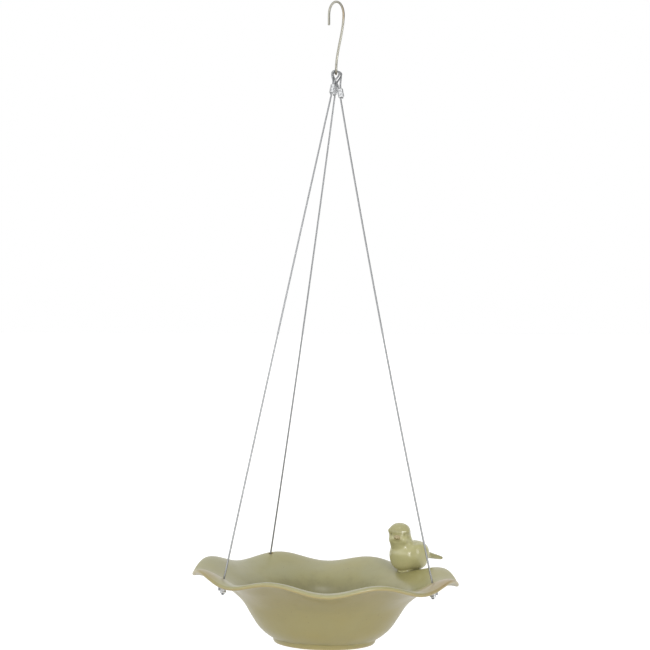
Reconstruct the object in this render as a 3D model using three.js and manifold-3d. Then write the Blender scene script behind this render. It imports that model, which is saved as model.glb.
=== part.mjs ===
// Hanging ceramic bird bath: a wavy-rimmed bowl with a small bird, hung on three wires from an S-hook.
// Millimetres, +Z up. The origin is the inside top of the hook's upper bend, the point it hangs from.
import * as THREE from 'three';
import { mergeVertices } from 'three/addons/utils/BufferGeometryUtils.js';
import Module from 'manifold-3d';

// Clearance between pieces that touch
const FIT_GAP = 0.3;

// S-hook of round wire, its lower bend turned a quarter from the upper one
const HOOK_WIRE = 2.5;
const CROOK_HALF_WIDTH = 7.7;
const CROOK_RISE = 14;
const CROOK_TIP_LENGTH = 11;
const HOOK_DROP = 75.3;
const LOWER_BEND_RADIUS = 6;
const LOWER_TIP_LENGTH = 3.5;

// Suspension wires: each has a crimped loop on the hook and a crimped stop below the rim
const WIRE = 1.8;
const LOOP_SPLIT = 0.95;
const TAIL_LENGTH = 1.6;
const WIRES = [
  {
    side: 'left', angle: 206, inset: 24.5, bow: -0.6,
    seat: -2.1, shift: -0.5, half: 3.8, loopLength: 12.5, turn: 62, hand: 1,
  },
  {
    side: 'right', angle: 339.5, inset: 23, bow: 2.7,
    seat: 0, shift: 0.9, half: 4.2, loopLength: 16.5, turn: 8, hand: -1,
  },
  {
    side: 'back', angle: 118, inset: 8, bow: 2.6,
    seat: 2.1, shift: 1.2, half: 4.5, loopLength: 12.5, turn: 48, hand: 1,
  },
];

// Crimp sleeves: short oval tubes round two strands
const SLEEVE_LENGTH = 9;
const STOP_LENGTH = 6.6;
const SLEEVE_WALL = 0.9;
const STOP_DEPTH = 3;
const STOP_SLACK = 0.4;
const STOP_TAIL = 4;

// Bowl: foot ring, curved wall and flared rim with a wave round it
const BOWL_DROP = 598.7;
const FOOT_RADIUS = 54;
const FOOT_WIDTH = 7;
const FOOT_HEIGHT = 2.8;
const FOOT_ROUND = 1.6;
const FLOOR_THICKNESS = 5;
const FLOOR_DISH = 0.2;
const WALL = 4.2;
const RIM_RADIUS = 140;
const RIM_HEIGHT = 73;
const WAVE_COUNT = 8;
const WAVE_DEPTH = 8.6;
const WAVE_CREST_ANGLE = 22.5;
const WAVE_START_RADIUS = 78;
const WAVE_GROWTH = 1.5;
const RIM_DROOP = 3.32;
const RIM_DROOP_ANGLE = 18.5;
const RIM_SAG = 0.9;
const RIM_SAG_ANGLE = 45;
const HOLE_DIAMETER = 5;

// Wall's middle line from the foot to the lip, as shares of the way out and of the way up
const WALL_LINE = [
  [0, 0.03], [0.08, 0.09], [0.174, 0.202], [0.26, 0.365], [0.356, 0.56], [0.447, 0.681],
  [0.569, 0.795], [0.701, 0.888], [0.8, 0.946], [0.88, 0.981], [0.945, 0.996], [1, 0.991],
];

// Bird on the rim, looking into the bowl with its head turned to one side
const BIRD_ANGLE = 45;
const BIRD_INSET = 20;
const BIRD_HEADING = 220;
const HEAD_TURN = 34;
const BODY_SIZE = [43, 36, 32];
const BODY_CENTRE = [-7.7, 0, 17.9];
const BODY_PITCH = 6;
const BREAST_SIZE = [33, 31, 24.6];
const BREAST_CENTRE = [-4.2, 0, 13.2];
const BELLY_SIZE = [34, 31, 24];
const BELLY_CENTRE = [-15.8, 0, 12.6];
const BACK_SIZE = [37.6, 33, 24];
const BACK_CENTRE = [-15.8, 0, 21.2];
const NECK_SIZE = [26, 24, 28];
const NECK_CENTRE = [3, 0, 32.3];
const HEAD_SIZE = [24.6, 23.6, 21.2];
const HEAD_CENTRE = [4.8, 0, 42.8];
const TAIL_ROOT = [-22, 0, 18];
const TAIL_TIP = [-59, 0, 10.4];
const TAIL_ROOT_SIZE = [22, 18];
const TAIL_MIDDLE_SIZE = [14, 7];
const TAIL_TIP_SIZE = [8, 2.8];
const TAIL_SWELL = 5;
const BEAK_SIZE = [8.6, 7.6, 5];
const BEAK_REACH = 10.8;
const BEAK_DROP = 4.2;
const STEM_DIAMETER = 15;
const STEM_SHIFT = -4.5;
const STEM_TILT = 15;
const STEM_DEPTH = 2.2;

// Rest lean of the hanging set: the bird's weight draws its side down
const SIDE_LEAN = 1.022;
const BACK_LEAN = 1.065;

// Facets
const WIRE_SIDES = 8;
const HOOK_SIDES = 10;
const BOWL_SECTORS = 80;

const rad = THREE.MathUtils.degToRad;
const vec = (x, y, z) => new THREE.Vector3(x, y, z);
const wasm = await Module();
wasm.setup();

// A curve through listed points, stepped from point to point and not by length
class Route extends THREE.CatmullRomCurve3 {
  getUtoTmapping(u) {
    return u;
  }
}

function roundTube(points, diameter, sides, stepsPerSpan = 1) {
  const outline = new THREE.Shape();
  outline.absarc(0, 0, diameter / 2, 0, 2 * Math.PI);
  return new THREE.ExtrudeGeometry(outline, {
    curveSegments: sides / 2,
    steps: (points.length - 1) * stepsPerSpan,
    extrudePath: new Route(points),
    bevelEnabled: false,
  });
}

function weld(geometry) {
  const bare = geometry.clone();
  bare.deleteAttribute('normal');
  bare.deleteAttribute('uv');
  return mergeVertices(bare, 1e-4);
}

function toSolid(geometry) {
  const welded = weld(geometry);
  const index = welded.index.array;
  const triangles = [];
  for (let i = 0; i < index.length; i += 3) {
    const [a, b, c] = [index[i], index[i + 1], index[i + 2]];
    if (a !== b && b !== c && c !== a) {
      triangles.push(a, b, c);
    }
  }
  return new wasm.Manifold(new wasm.Mesh({
    numProp: 3,
    vertProperties: Float32Array.from(welded.attributes.position.array),
    triVerts: Uint32Array.from(triangles),
  }));
}

function toGeometry(solid) {
  const mesh = solid.getMesh();
  const geometry = new THREE.BufferGeometry();
  geometry.setAttribute('position', new THREE.BufferAttribute(Float32Array.from(mesh.vertProperties), 3));
  geometry.setIndex(new THREE.BufferAttribute(Uint32Array.from(mesh.triVerts), 1));
  geometry.computeVertexNormals();
  return geometry;
}

function named(name, geometry, material) {
  const mesh = new THREE.Mesh(geometry, material.clone());
  mesh.name = name;
  return mesh;
}

const hookSteel = new THREE.MeshStandardMaterial({ color: 0x8d877b, roughness: 0.35, metalness: 1 });
const wireSteel = new THREE.MeshStandardMaterial({ color: 0xc6c8ca, roughness: 0.4, metalness: 1 });
const sleeveMetal = new THREE.MeshStandardMaterial({ color: 0xa9acaf, roughness: 0.45, metalness: 1 });
const glaze = new THREE.MeshStandardMaterial({ color: 0x9c9a70, roughness: 0.22, metalness: 0 });
const birdGlaze = new THREE.MeshStandardMaterial({ color: 0xa5a277, roughness: 0.2, metalness: 0 });

// S-hook: upper bend in the XZ plane, shank behind, lower bend in the YZ plane with its tip in front
function hookPoints() {
  const points = [];
  const crookTop = HOOK_WIRE / 2;
  const crookCentre = crookTop - CROOK_RISE;
  points.push(vec(-CROOK_HALF_WIDTH, 0, crookCentre - CROOK_TIP_LENGTH));
  points.push(vec(-CROOK_HALF_WIDTH, 0, crookCentre - CROOK_TIP_LENGTH / 2));
  for (let i = 0; i <= 12; i += 1) {
    const turn = Math.PI * (1 - i / 12);
    points.push(vec(CROOK_HALF_WIDTH * Math.cos(turn), 0, crookCentre + CROOK_RISE * Math.sin(turn)));
  }
  const bendCentre = LOWER_BEND_RADIUS - HOOK_DROP;
  for (const share of [0.16, 0.38, 0.6, 0.82]) {
    const ease = share * share * (3 - 2 * share);
    const height = THREE.MathUtils.lerp(crookCentre, bendCentre, share);
    points.push(vec(CROOK_HALF_WIDTH * (1 - ease), LOWER_BEND_RADIUS * ease, height));
  }
  for (let i = 0; i <= 10; i += 1) {
    const turn = Math.PI * i / 10;
    const reach = LOWER_BEND_RADIUS * Math.cos(turn);
    points.push(vec(0, reach, bendCentre - LOWER_BEND_RADIUS * Math.sin(turn)));
  }
  points.push(vec(0, -LOWER_BEND_RADIUS, bendCentre + LOWER_TIP_LENGTH));
  return points;
}

// Bowl's wall: middle line offset both ways by half the wall, measured up from the foot's underside
const floorTop = FOOT_HEIGHT + FLOOR_THICKNESS;
const floorMiddle = FOOT_HEIGHT + FLOOR_THICKNESS / 2;
const lipCentre = RIM_RADIUS - WALL / 2;

function wallCurve() {
  const points = [new THREE.Vector2(0, floorMiddle), new THREE.Vector2(FOOT_RADIUS * 0.46, floorMiddle)];
  points.push(new THREE.Vector2(FOOT_RADIUS * 0.82, floorMiddle + FLOOR_DISH));
  for (const [out, up] of WALL_LINE) {
    const radius = THREE.MathUtils.lerp(FOOT_RADIUS, lipCentre, out);
    points.push(new THREE.Vector2(radius, THREE.MathUtils.lerp(floorMiddle, RIM_HEIGHT - WALL / 2, up)));
  }
  return new THREE.SplineCurve(points);
}

const wallMiddle = wallCurve();
const wallStart = 3 / (WALL_LINE.length + 2);

function wallSide(share, side) {
  const point = wallMiddle.getPoint(share);
  const tangent = wallMiddle.getTangent(share);
  const blend = Math.min(1, share / wallStart);
  const half = THREE.MathUtils.lerp(FLOOR_THICKNESS, WALL, blend) / 2;
  return new THREE.Vector2(point.x - side * tangent.y * half, point.y + side * tangent.x * half);
}

function bowlProfile() {
  const profile = [new THREE.Vector2(0, floorTop)];
  const topSteps = 18;
  for (let i = 2; i <= topSteps; i += 1) {
    profile.push(wallSide(i / topSteps, 1));
  }
  const lip = wallMiddle.getPoint(1);
  const out = wallMiddle.getTangent(1);
  for (let i = 1; i < 4; i += 1) {
    const turn = Math.PI * (0.5 - i / 4);
    const along = Math.cos(turn) * WALL / 2;
    const across = Math.sin(turn) * WALL / 2;
    const point = lip.clone().addScaledVector(out, along);
    profile.push(point.add(new THREE.Vector2(-out.y, out.x).multiplyScalar(across)));
  }
  const underSteps = 12;
  for (let i = 0; i <= underSteps; i += 1) {
    profile.push(wallSide(THREE.MathUtils.lerp(1, wallStart, i / underSteps), -1));
  }
  const footInner = FOOT_RADIUS - FOOT_WIDTH;
  profile.push(new THREE.Vector2(FOOT_RADIUS, FOOT_HEIGHT));
  profile.push(new THREE.Vector2(FOOT_RADIUS - 0.3 * FOOT_ROUND, 0.5 * FOOT_ROUND));
  profile.push(new THREE.Vector2(FOOT_RADIUS - FOOT_ROUND, 0));
  profile.push(new THREE.Vector2(footInner, 0));
  profile.push(new THREE.Vector2(footInner - 0.75 * FOOT_ROUND, FOOT_HEIGHT));
  profile.push(new THREE.Vector2(0, FOOT_HEIGHT));
  return profile.reverse();
}

// Rim's height above or below the round bowl: waves, a droop to one side and a slight saddle
function rimWave(radius, angle) {
  const share = (radius - WAVE_START_RADIUS) / (RIM_RADIUS - WALL - WAVE_START_RADIUS);
  const rise = THREE.MathUtils.clamp(share, 0, 1) ** WAVE_GROWTH;
  const wave = WAVE_DEPTH / 2 * Math.cos(WAVE_COUNT * (angle - rad(WAVE_CREST_ANGLE)));
  const droop = RIM_DROOP * Math.cos(angle - rad(RIM_DROOP_ANGLE));
  const sag = RIM_SAG * Math.cos(2 * (angle - rad(RIM_SAG_ANGLE)));
  return rise * (wave - droop - sag);
}

function wallHeight(radius, angle, side) {
  let low = wallStart;
  let high = 1;
  for (let i = 0; i < 30; i += 1) {
    const middle = (low + high) / 2;
    if (wallSide(middle, side).x < radius) {
      low = middle;
    } else {
      high = middle;
    }
  }
  return wallSide(low, side).y + rimWave(radius, angle);
}

// The bowl's frame hangs BOWL_DROP below the hook's lower bend
function onRim(radius, angleDegrees) {
  const angle = rad(angleDegrees);
  const height = wallHeight(radius, angle, 1) - BOWL_DROP;
  return vec(radius * Math.cos(angle), radius * Math.sin(angle), height);
}

function bowlBody() {
  const geometry = new THREE.LatheGeometry(bowlProfile(), BOWL_SECTORS);
  geometry.rotateX(Math.PI / 2);
  const positions = geometry.attributes.position;
  for (let i = 0; i < positions.count; i += 1) {
    const [x, y, z] = [positions.getX(i), positions.getY(i), positions.getZ(i)];
    positions.setZ(i, z + rimWave(Math.hypot(x, y), Math.atan2(y, x)) - BOWL_DROP);
  }
  return toSolid(geometry);
}

// Each wire's frame: seat on the hook, direction to its hole and the loop's own width direction
function wireFrame(wire) {
  const along = wire.seat;
  const lift = LOWER_BEND_RADIUS - Math.sqrt(LOWER_BEND_RADIUS ** 2 - along ** 2);
  const seat = vec(wire.shift, along, lift);
  const hole = onRim(RIM_RADIUS - wire.inset, wire.angle);
  const strand = (WIRE + FIT_GAP) / 2;
  let down = hole.clone().sub(seat).normalize();
  let across = vec(0, 1, 0).cross(down).normalize().multiplyScalar(-wire.hand);
  const turned = across.clone().applyAxisAngle(down, rad(wire.turn));
  const start = seat.clone().addScaledVector(turned, strand);
  down = hole.clone().sub(start).normalize();
  across = vec(0, 1, 0).cross(down).normalize().multiplyScalar(-wire.hand);
  return { seat, hole, down, across, strand };
}

function loopPoint(wire, frame, depth, side, half) {
  const share = THREE.MathUtils.smoothstep(depth, 0, wire.loopLength - 1);
  const width = half ?? THREE.MathUtils.lerp(wire.half, frame.strand, share);
  const across = frame.across.clone().applyAxisAngle(frame.down, rad(wire.turn) * share);
  return frame.seat.clone().addScaledVector(frame.down, depth).addScaledVector(across, side * width);
}

// Top of the loop: an upright arch that clears the hook's bent wire
function loopCrown(wire, frame) {
  const clear = HOOK_WIRE / 2 + FIT_GAP + WIRE / 2;
  const top = LOWER_BEND_RADIUS - Math.sqrt((LOWER_BEND_RADIUS - clear) ** 2 - wire.seat ** 2);
  const rise = top - frame.seat.z;
  const up = vec(-frame.down.x, 0, -frame.down.z).normalize();
  const start = Math.asin(LOOP_SPLIT / 2 / rise);
  const points = [];
  for (let i = 0; i <= 12; i += 1) {
    const turn = THREE.MathUtils.lerp(start, Math.PI - start, i / 12);
    const point = frame.seat.clone().addScaledVector(frame.across, wire.half * Math.cos(turn));
    points.push(point.addScaledVector(up, rise * Math.sin(turn)));
  }
  return roundTube(points, WIRE, WIRE_SIDES);
}

// Depth of the hole: straight down from the rim's top side to its underside
function holeDepth(wire, frame) {
  const under = wallHeight(RIM_RADIUS - wire.inset, rad(wire.angle), -1) - BOWL_DROP;
  return frame.hole.z - under;
}

function outwardOf(frame) {
  return vec(frame.hole.x, frame.hole.y, 0).normalize();
}

// Strands start below the arch, far enough for their round ends to swing fore and aft
const strandStart = LOOP_SPLIT / 2 + WIRE / 2;

// Main strand from the loop to the rim, down through the stop's sleeve, round a tight turn and up again
function mainStrand(wire, frame) {
  const points = [];
  const sleeveEnd = wire.loopLength + SLEEVE_LENGTH;
  for (let depth = strandStart; depth < wire.loopLength; depth += 1.9) {
    points.push(loopPoint(wire, frame, depth, 1));
  }
  points.push(loopPoint(wire, frame, wire.loopLength, 1));
  points.push(loopPoint(wire, frame, sleeveEnd, 1));
  const top = points[points.length - 1].clone();
  const exit = holeDepth(wire, frame);
  const outward = outwardOf(frame);
  const place = (out, depth) => frame.hole.clone()
    .addScaledVector(outward, out).add(vec(0, 0, -exit - depth));
  for (const share of [0.06, 0.2, 0.35, 0.5, 0.65, 0.8, 0.92, 0.98]) {
    const inward = 4 * wire.bow * share * (1 - share);
    points.push(top.clone().lerp(frame.hole, share).addScaledVector(outward, -inward));
  }
  const bottom = STOP_DEPTH + STOP_LENGTH + STOP_SLACK;
  points.push(place(0, -exit));
  points.push(place(0, STOP_DEPTH));
  points.push(place(0, STOP_DEPTH + STOP_LENGTH / 2));
  for (let i = 0; i <= 6; i += 1) {
    const turn = Math.PI * i / 6;
    points.push(place(frame.strand * (1 - Math.cos(turn)), bottom + frame.strand * Math.sin(turn)));
  }
  const back = 2 * frame.strand;
  const rest = FIT_GAP + WIRE / 2 + STOP_SLACK;
  const clear = frame.strand + (WIRE + frame.strand * 2) / 2 + FIT_GAP + SLEEVE_WALL + FIT_GAP + WIRE / 2;
  const reach = (clear - back) / 2;
  points.push(place(back, STOP_DEPTH + STOP_LENGTH / 2));
  points.push(place(back, STOP_DEPTH + WIRE / 3));
  for (let i = 0; i <= 6; i += 1) {
    const turn = Math.PI * i / 6;
    const rise = (STOP_DEPTH - rest) * Math.sin(turn);
    points.push(place(back + reach * (1 - Math.cos(turn)), STOP_DEPTH - rise));
  }
  points.push(place(clear, STOP_DEPTH + STOP_TAIL / 2));
  points.push(place(clear, STOP_DEPTH + STOP_TAIL));
  return points;
}

// Short end of the loop, back down through the upper sleeve to a cut that lies on the main strand
function shortStrand(wire, frame) {
  const points = [];
  const sleeveEnd = wire.loopLength + SLEEVE_LENGTH;
  for (let depth = strandStart; depth < wire.loopLength; depth += 1.9) {
    points.push(loopPoint(wire, frame, depth, -1));
  }
  points.push(loopPoint(wire, frame, wire.loopLength, -1));
  points.push(loopPoint(wire, frame, sleeveEnd, -1));
  points.push(loopPoint(wire, frame, sleeveEnd + TAIL_LENGTH * 0.6, -1, frame.strand - WIRE * 0.28));
  points.push(loopPoint(wire, frame, sleeveEnd + TAIL_LENGTH, -1, frame.strand - WIRE * 0.36));
  return points;
}

function wireBody(wire, frame) {
  const strands = [mainStrand(wire, frame), shortStrand(wire, frame)];
  let body = toSolid(roundTube(strands[0], WIRE, WIRE_SIDES));
  body = body.add(toSolid(roundTube(strands[1], WIRE, WIRE_SIDES)));
  for (const [end] of strands) {
    const ball = new THREE.SphereGeometry(WIRE / 2, WIRE_SIDES, 6);
    ball.translate(end.x, end.y, end.z);
    body = body.add(toSolid(ball));
  }
  return toGeometry(body);
}

function stadium(path, width, thickness) {
  const straight = (width - thickness) / 2;
  path.absarc(straight, 0, thickness / 2, -Math.PI / 2, Math.PI / 2);
  path.absarc(-straight, 0, thickness / 2, Math.PI / 2, 3 * Math.PI / 2);
  path.closePath();
  return path;
}

function sleeveGeometry(length) {
  const boreWidth = 2 * WIRE + FIT_GAP + 2 * FIT_GAP;
  const boreThickness = WIRE + 2 * FIT_GAP;
  const outline = stadium(new THREE.Shape(), boreWidth + 2 * SLEEVE_WALL, boreThickness + 2 * SLEEVE_WALL);
  outline.holes.push(stadium(new THREE.Path(), boreWidth, boreThickness));
  return new THREE.ExtrudeGeometry(outline, { depth: length, curveSegments: 4, bevelEnabled: false });
}

function placeSleeve(mesh, start, width, down) {
  const thick = down.clone().cross(width).normalize();
  mesh.quaternion.setFromRotationMatrix(new THREE.Matrix4().makeBasis(width, thick, down));
  mesh.position.copy(start);
  return mesh;
}

// Bird: rounded forms joined into one piece, its stem and belly cut to the rim's surface
function ellipsoid(size, centre, pitch = 0) {
  const geometry = new THREE.SphereGeometry(0.5, 24, 16);
  geometry.scale(size[0], size[1], size[2]);
  geometry.rotateY(-rad(pitch));
  geometry.translate(centre[0], centre[1], centre[2]);
  return toSolid(geometry);
}

function tailSize(axis, left) {
  const taper = THREE.MathUtils.lerp(TAIL_TIP_SIZE[axis], TAIL_MIDDLE_SIZE[axis], Math.sqrt(left));
  return taper + (TAIL_ROOT_SIZE[axis] - TAIL_MIDDLE_SIZE[axis]) * left ** TAIL_SWELL;
}

function birdTail() {
  const root = vec(...TAIL_ROOT);
  const line = vec(...TAIL_TIP).sub(root);
  const geometry = new THREE.CylinderGeometry(0.5, 0.5, 1, 20, 8);
  const positions = geometry.attributes.position;
  for (let i = 0; i < positions.count; i += 1) {
    const share = positions.getY(i) + 0.5;
    const width = tailSize(0, 1 - share);
    const thickness = tailSize(1, 1 - share);
    positions.setXYZ(i, positions.getX(i) * width, share * line.length(), positions.getZ(i) * thickness);
  }
  const turn = new THREE.Quaternion().setFromUnitVectors(vec(0, 1, 0), line.clone().normalize());
  geometry.applyQuaternion(turn);
  geometry.translate(root.x, root.y, root.z);
  return toSolid(geometry);
}

function birdBeak() {
  const turn = rad(HEAD_TURN);
  const centre = vec(BEAK_REACH * Math.cos(turn), BEAK_REACH * Math.sin(turn), -BEAK_DROP);
  const geometry = new THREE.SphereGeometry(0.5, 16, 10);
  geometry.scale(...BEAK_SIZE);
  geometry.rotateZ(turn);
  geometry.translate(...centre.add(vec(...HEAD_CENTRE)).toArray());
  return toSolid(geometry);
}

function birdStem() {
  const top = BODY_CENTRE[2] - BODY_SIZE[2] / 4;
  const length = top + STEM_DEPTH;
  const geometry = new THREE.CylinderGeometry(STEM_DIAMETER / 2, STEM_DIAMETER / 2, length, 24);
  geometry.rotateX(Math.PI / 2);
  geometry.translate(0, 0, top - length / 2);
  geometry.rotateY(rad(STEM_TILT));
  geometry.translate(STEM_SHIFT, 0, -STEM_SHIFT * Math.tan(rad(STEM_TILT)));
  return toSolid(geometry);
}

function birdBody(bowl) {
  const seat = onRim(RIM_RADIUS - BIRD_INSET, BIRD_ANGLE);
  const forms = [
    ellipsoid(BREAST_SIZE, BREAST_CENTRE),
    ellipsoid(BELLY_SIZE, BELLY_CENTRE),
    ellipsoid(BACK_SIZE, BACK_CENTRE),
    ellipsoid(NECK_SIZE, NECK_CENTRE),
    ellipsoid(HEAD_SIZE, HEAD_CENTRE),
    birdTail(),
    birdBeak(),
    birdStem(),
  ];
  let bird = ellipsoid(BODY_SIZE, BODY_CENTRE, BODY_PITCH);
  for (const form of forms) {
    bird = bird.add(form);
  }
  const geometry = toGeometry(bird);
  geometry.rotateZ(rad(BIRD_HEADING));
  geometry.translate(seat.x, seat.y, seat.z);
  bird = toSolid(geometry);
  for (const drop of [0, 0.7 * WALL, 1.4 * WALL]) {
    bird = bird.subtract(bowl.translate([0, 0, FIT_GAP - drop]));
  }
  return bird;
}

// Assembly: the hook stays put and the rest hangs from its lower bend
const birdBath = new THREE.Group();
birdBath.add(named('s_hook', roundTube(hookPoints(), HOOK_WIRE, HOOK_SIDES, 2), hookSteel));

const hanging = new THREE.Group();
hanging.position.set(0, 0, -HOOK_DROP);
hanging.rotation.set(-rad(BACK_LEAN), rad(SIDE_LEAN), 0);
birdBath.add(hanging);

let bowl = bowlBody();
const bird = birdBody(bowl);
for (const wire of WIRES) {
  const frame = wireFrame(wire);
  const drill = new THREE.CylinderGeometry(HOLE_DIAMETER / 2, HOLE_DIAMETER / 2, 8 * WALL, 24);
  drill.rotateX(Math.PI / 2);
  drill.translate(frame.hole.x, frame.hole.y, frame.hole.z);
  bowl = bowl.subtract(toSolid(drill));

  hanging.add(named(`wire_loop_${wire.side}`, loopCrown(wire, frame), wireSteel));
  hanging.add(named(`wire_${wire.side}`, wireBody(wire, frame), wireSteel));

  const upper = named(`upper_sleeve_${wire.side}`, sleeveGeometry(SLEEVE_LENGTH), sleeveMetal);
  const upperWidth = frame.across.clone().applyAxisAngle(frame.down, rad(wire.turn));
  const upperStart = frame.seat.clone().addScaledVector(frame.down, wire.loopLength);
  hanging.add(placeSleeve(upper, upperStart, upperWidth, frame.down));

  const lower = named(`lower_sleeve_${wire.side}`, sleeveGeometry(STOP_LENGTH), sleeveMetal);
  const outward = outwardOf(frame);
  const lowerStart = frame.hole.clone().addScaledVector(outward, frame.strand);
  lowerStart.z -= holeDepth(wire, frame) + STOP_DEPTH;
  hanging.add(placeSleeve(lower, lowerStart, outward, vec(0, 0, -1)));
}
hanging.add(named('bowl', toGeometry(bowl), glaze));
hanging.add(named('bird', toGeometry(bird), birdGlaze));

export default birdBath;
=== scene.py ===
"""Hanging bird bath: a glazed bowl with a small bird on its rim, three wires with crimped sleeves, an S-hook.

Shapes are worked out in millimetres in the frame of the upright hanging set, whose origin is the inside of
the hook's lower bend. They are put into the meshes in metres, in the frame of the whole object.
"""

import math
from collections import namedtuple

import bpy
import numpy as np
from bpy.props import FloatProperty, FloatVectorProperty, IntProperty, PointerProperty
from mathutils import Euler, Matrix, Vector


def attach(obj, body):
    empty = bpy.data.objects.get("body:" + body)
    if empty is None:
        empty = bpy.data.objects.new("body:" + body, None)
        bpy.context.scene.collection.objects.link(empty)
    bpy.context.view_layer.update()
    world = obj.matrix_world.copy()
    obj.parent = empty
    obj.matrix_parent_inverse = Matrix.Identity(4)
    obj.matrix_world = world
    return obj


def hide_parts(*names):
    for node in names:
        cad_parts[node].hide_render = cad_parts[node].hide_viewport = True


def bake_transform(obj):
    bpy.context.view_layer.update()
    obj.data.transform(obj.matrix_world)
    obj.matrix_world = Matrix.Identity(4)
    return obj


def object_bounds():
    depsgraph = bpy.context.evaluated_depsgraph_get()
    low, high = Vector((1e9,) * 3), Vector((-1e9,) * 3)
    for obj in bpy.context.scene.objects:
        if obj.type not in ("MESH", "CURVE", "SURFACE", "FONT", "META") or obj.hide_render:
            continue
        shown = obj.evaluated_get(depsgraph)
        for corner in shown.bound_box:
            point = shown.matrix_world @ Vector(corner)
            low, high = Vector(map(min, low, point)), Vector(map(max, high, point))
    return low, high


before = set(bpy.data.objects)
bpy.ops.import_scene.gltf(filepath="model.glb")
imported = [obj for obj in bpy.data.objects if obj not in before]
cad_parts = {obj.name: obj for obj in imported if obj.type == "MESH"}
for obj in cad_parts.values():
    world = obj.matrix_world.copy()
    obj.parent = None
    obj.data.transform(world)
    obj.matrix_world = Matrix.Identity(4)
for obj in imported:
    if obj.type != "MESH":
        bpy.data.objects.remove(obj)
CAD_BOX = [list(corner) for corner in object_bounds()]

bl_info = {
    "name": "Hanging bird bath",
    "version": (1, 0, 0),
    "blender": (4, 5, 0),
    "location": "View3D > Sidebar > Bird bath",
    "description": "Builds a glazed hanging bird bath, its wires, hook and a pale stage",
    "category": "Add Mesh",
}

# Fixed sizes, in millimetres and degrees

ALONG_X, ALONG_Y, ALONG_Z = np.eye(3)
FIT_GAP = 0.3
SEAT_GAP = 0.05
BOWL_DROP = 598.7
SIDE_LEAN = 1.022
BACK_LEAN = 1.065
LEAN = np.array(
    Matrix.Rotation(-math.radians(BACK_LEAN), 3, "X") @ Matrix.Rotation(math.radians(SIDE_LEAN), 3, "Y")
)

HOOK_DROP = 75.3
HOOK_BEND = 6.0
HOOK_TIP = 11.0
HOOK_END = 3.5
HOOK_STEP, HOOK_COLUMNS = 0.45, 28
HOOK_TURN = (22.0, 62.0)
HOOK_DOME, HOOK_FACE = 0.7, 0.35

FOOT_WIDTH = 7.0
FOOT_HEIGHT = 2.8
FOOT_ROUND = 1.6
FLOOR_THICKNESS = 5.0
FLOOR_DISH = 0.2
FLOOR_SHARES = (0.46, 0.82)
WAVE_CREST = math.radians(22.5)
WAVE_START = 78.0
WAVE_GROWTH = 1.5
DROOP = (3.32, math.radians(18.5))
SAG = (0.9, math.radians(45.0))
# Shares of the way out and of the way up from the foot to the lip.
WALL_LINE = np.array([
    (0.0, 0.03), (0.08, 0.09), (0.174, 0.202), (0.26, 0.365), (0.356, 0.56), (0.447, 0.681),
    (0.569, 0.795), (0.701, 0.888), (0.8, 0.946), (0.88, 0.981), (0.945, 0.996), (1.0, 0.991),
])
WALL_SHARE = 3.0 / (len(WALL_LINE) + 2)
WALL_STEPS = 1300
TOP_ROWS, LIP_ROWS, UNDER_ROWS, FOOT_ROWS = 96, 16, 62, 40
BOWL_COLUMNS = 384
# Ends of the peg for a hole, how far it flares, and where it does so above and below.
PEG_ENDS, PEG_FLARE = (-16.0, 10.0), 0.35
PEG_TOP, PEG_UNDER = (-1.5, 2.0), (4.0, 8.0)
PEG_ROWS, PEG_COLUMNS = 40, 40
# Middle, spread and strength of the rosy stretches of the rim.
BLUSH = ((337.0, 26.0, 0.95), (206.0, 15.0, 0.6))

# Angle of the hole and its distance from the lip; bow of the strand; the loop's place along the hook's bend,
# its shift aside, half width, length and turn about the wire; the side on which the long strand leaves it.
Wire = namedtuple("Wire", "angle inset bow seat shift half loop turn hand")
WIRES = {
    "left": Wire(206.0, 24.5, -0.6, -2.1, -0.5, 3.8, 12.5, 62.0, 1.0),
    "right": Wire(339.5, 23.0, 2.7, 0.0, 0.9, 4.2, 16.5, 8.0, -1.0),
    "back": Wire(118.0, 8.0, 2.6, 2.1, 1.2, 4.5, 12.5, 48.0, 1.0),
}
PATH_STEPS = 40
WIRE_STEP, WIRE_COLUMNS = 0.72, 36
WIRE_END, WIRE_END_ROUND = 0.5, 0.25
LOOP_TOP = 1.4
STRAND_SHARES = np.array([0.06, 0.2, 0.35, 0.5, 0.65, 0.8, 0.92, 0.98])[:, None]
GROOVE_DEPTH, GROOVE_FULL = 0.35, 0.15
GUIDE_TURN = (20.0, 420.0)
TAIL_LENGTH = 1.6
STOP_DEPTH = 3.0
STOP_SLACK = 0.4
STOP_TAIL = 4.0
SLEEVE_ROWS, SLEEVE_COLUMNS = 45, 72
SLEEVE_EDGE = 0.32
PRESS_SHARES = (0.29, 0.71)
PRESS_WIDTH, PRESS_DEPTH, PRESS_SPREAD = 0.95, 0.17, 0.035

BIRD_ANGLE = 45.0
BIRD_INSET = 20.0
BIRD_VOXEL = 0.5
BIRD_PASSES = 7
CREASE_PASSES = 4
# Shares of the wall's thickness by which the cutters of the bird's seat are lowered.
SEAT_CUTS = np.array([0.0, 0.7, 1.4])
# Ovals of the bird: middle, half sizes, pitch and the power that squares them off.
BODY = ((-7.7, 0.0, 17.9), (21.5, 18.0, 16.0), 6.0, 2.0)
BREAST = ((-1.8, 0.0, 16.8), (15.2, 14.6, 16.2), 0.0, 2.4)
BELLY = ((-15.8, 0.0, 12.2), (17.0, 15.5, 12.4), 0.0, 2.3)
BACK = ((-15.8, 0.0, 21.2), (18.8, 16.5, 12.0), 0.0, 2.0)
NECK = ((3.0, 0.0, 33.8), (13.0, 12.0, 11.2), 0.0, 2.0)
HEAD = ((4.8, 0.0, 42.8), (12.3, 11.8, 10.6), 0.0, 2.15)
WING = ((-12.0, 13.6, 19.6), (15.5, 4.2, 11.0), 9.0, 2.0)
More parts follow.
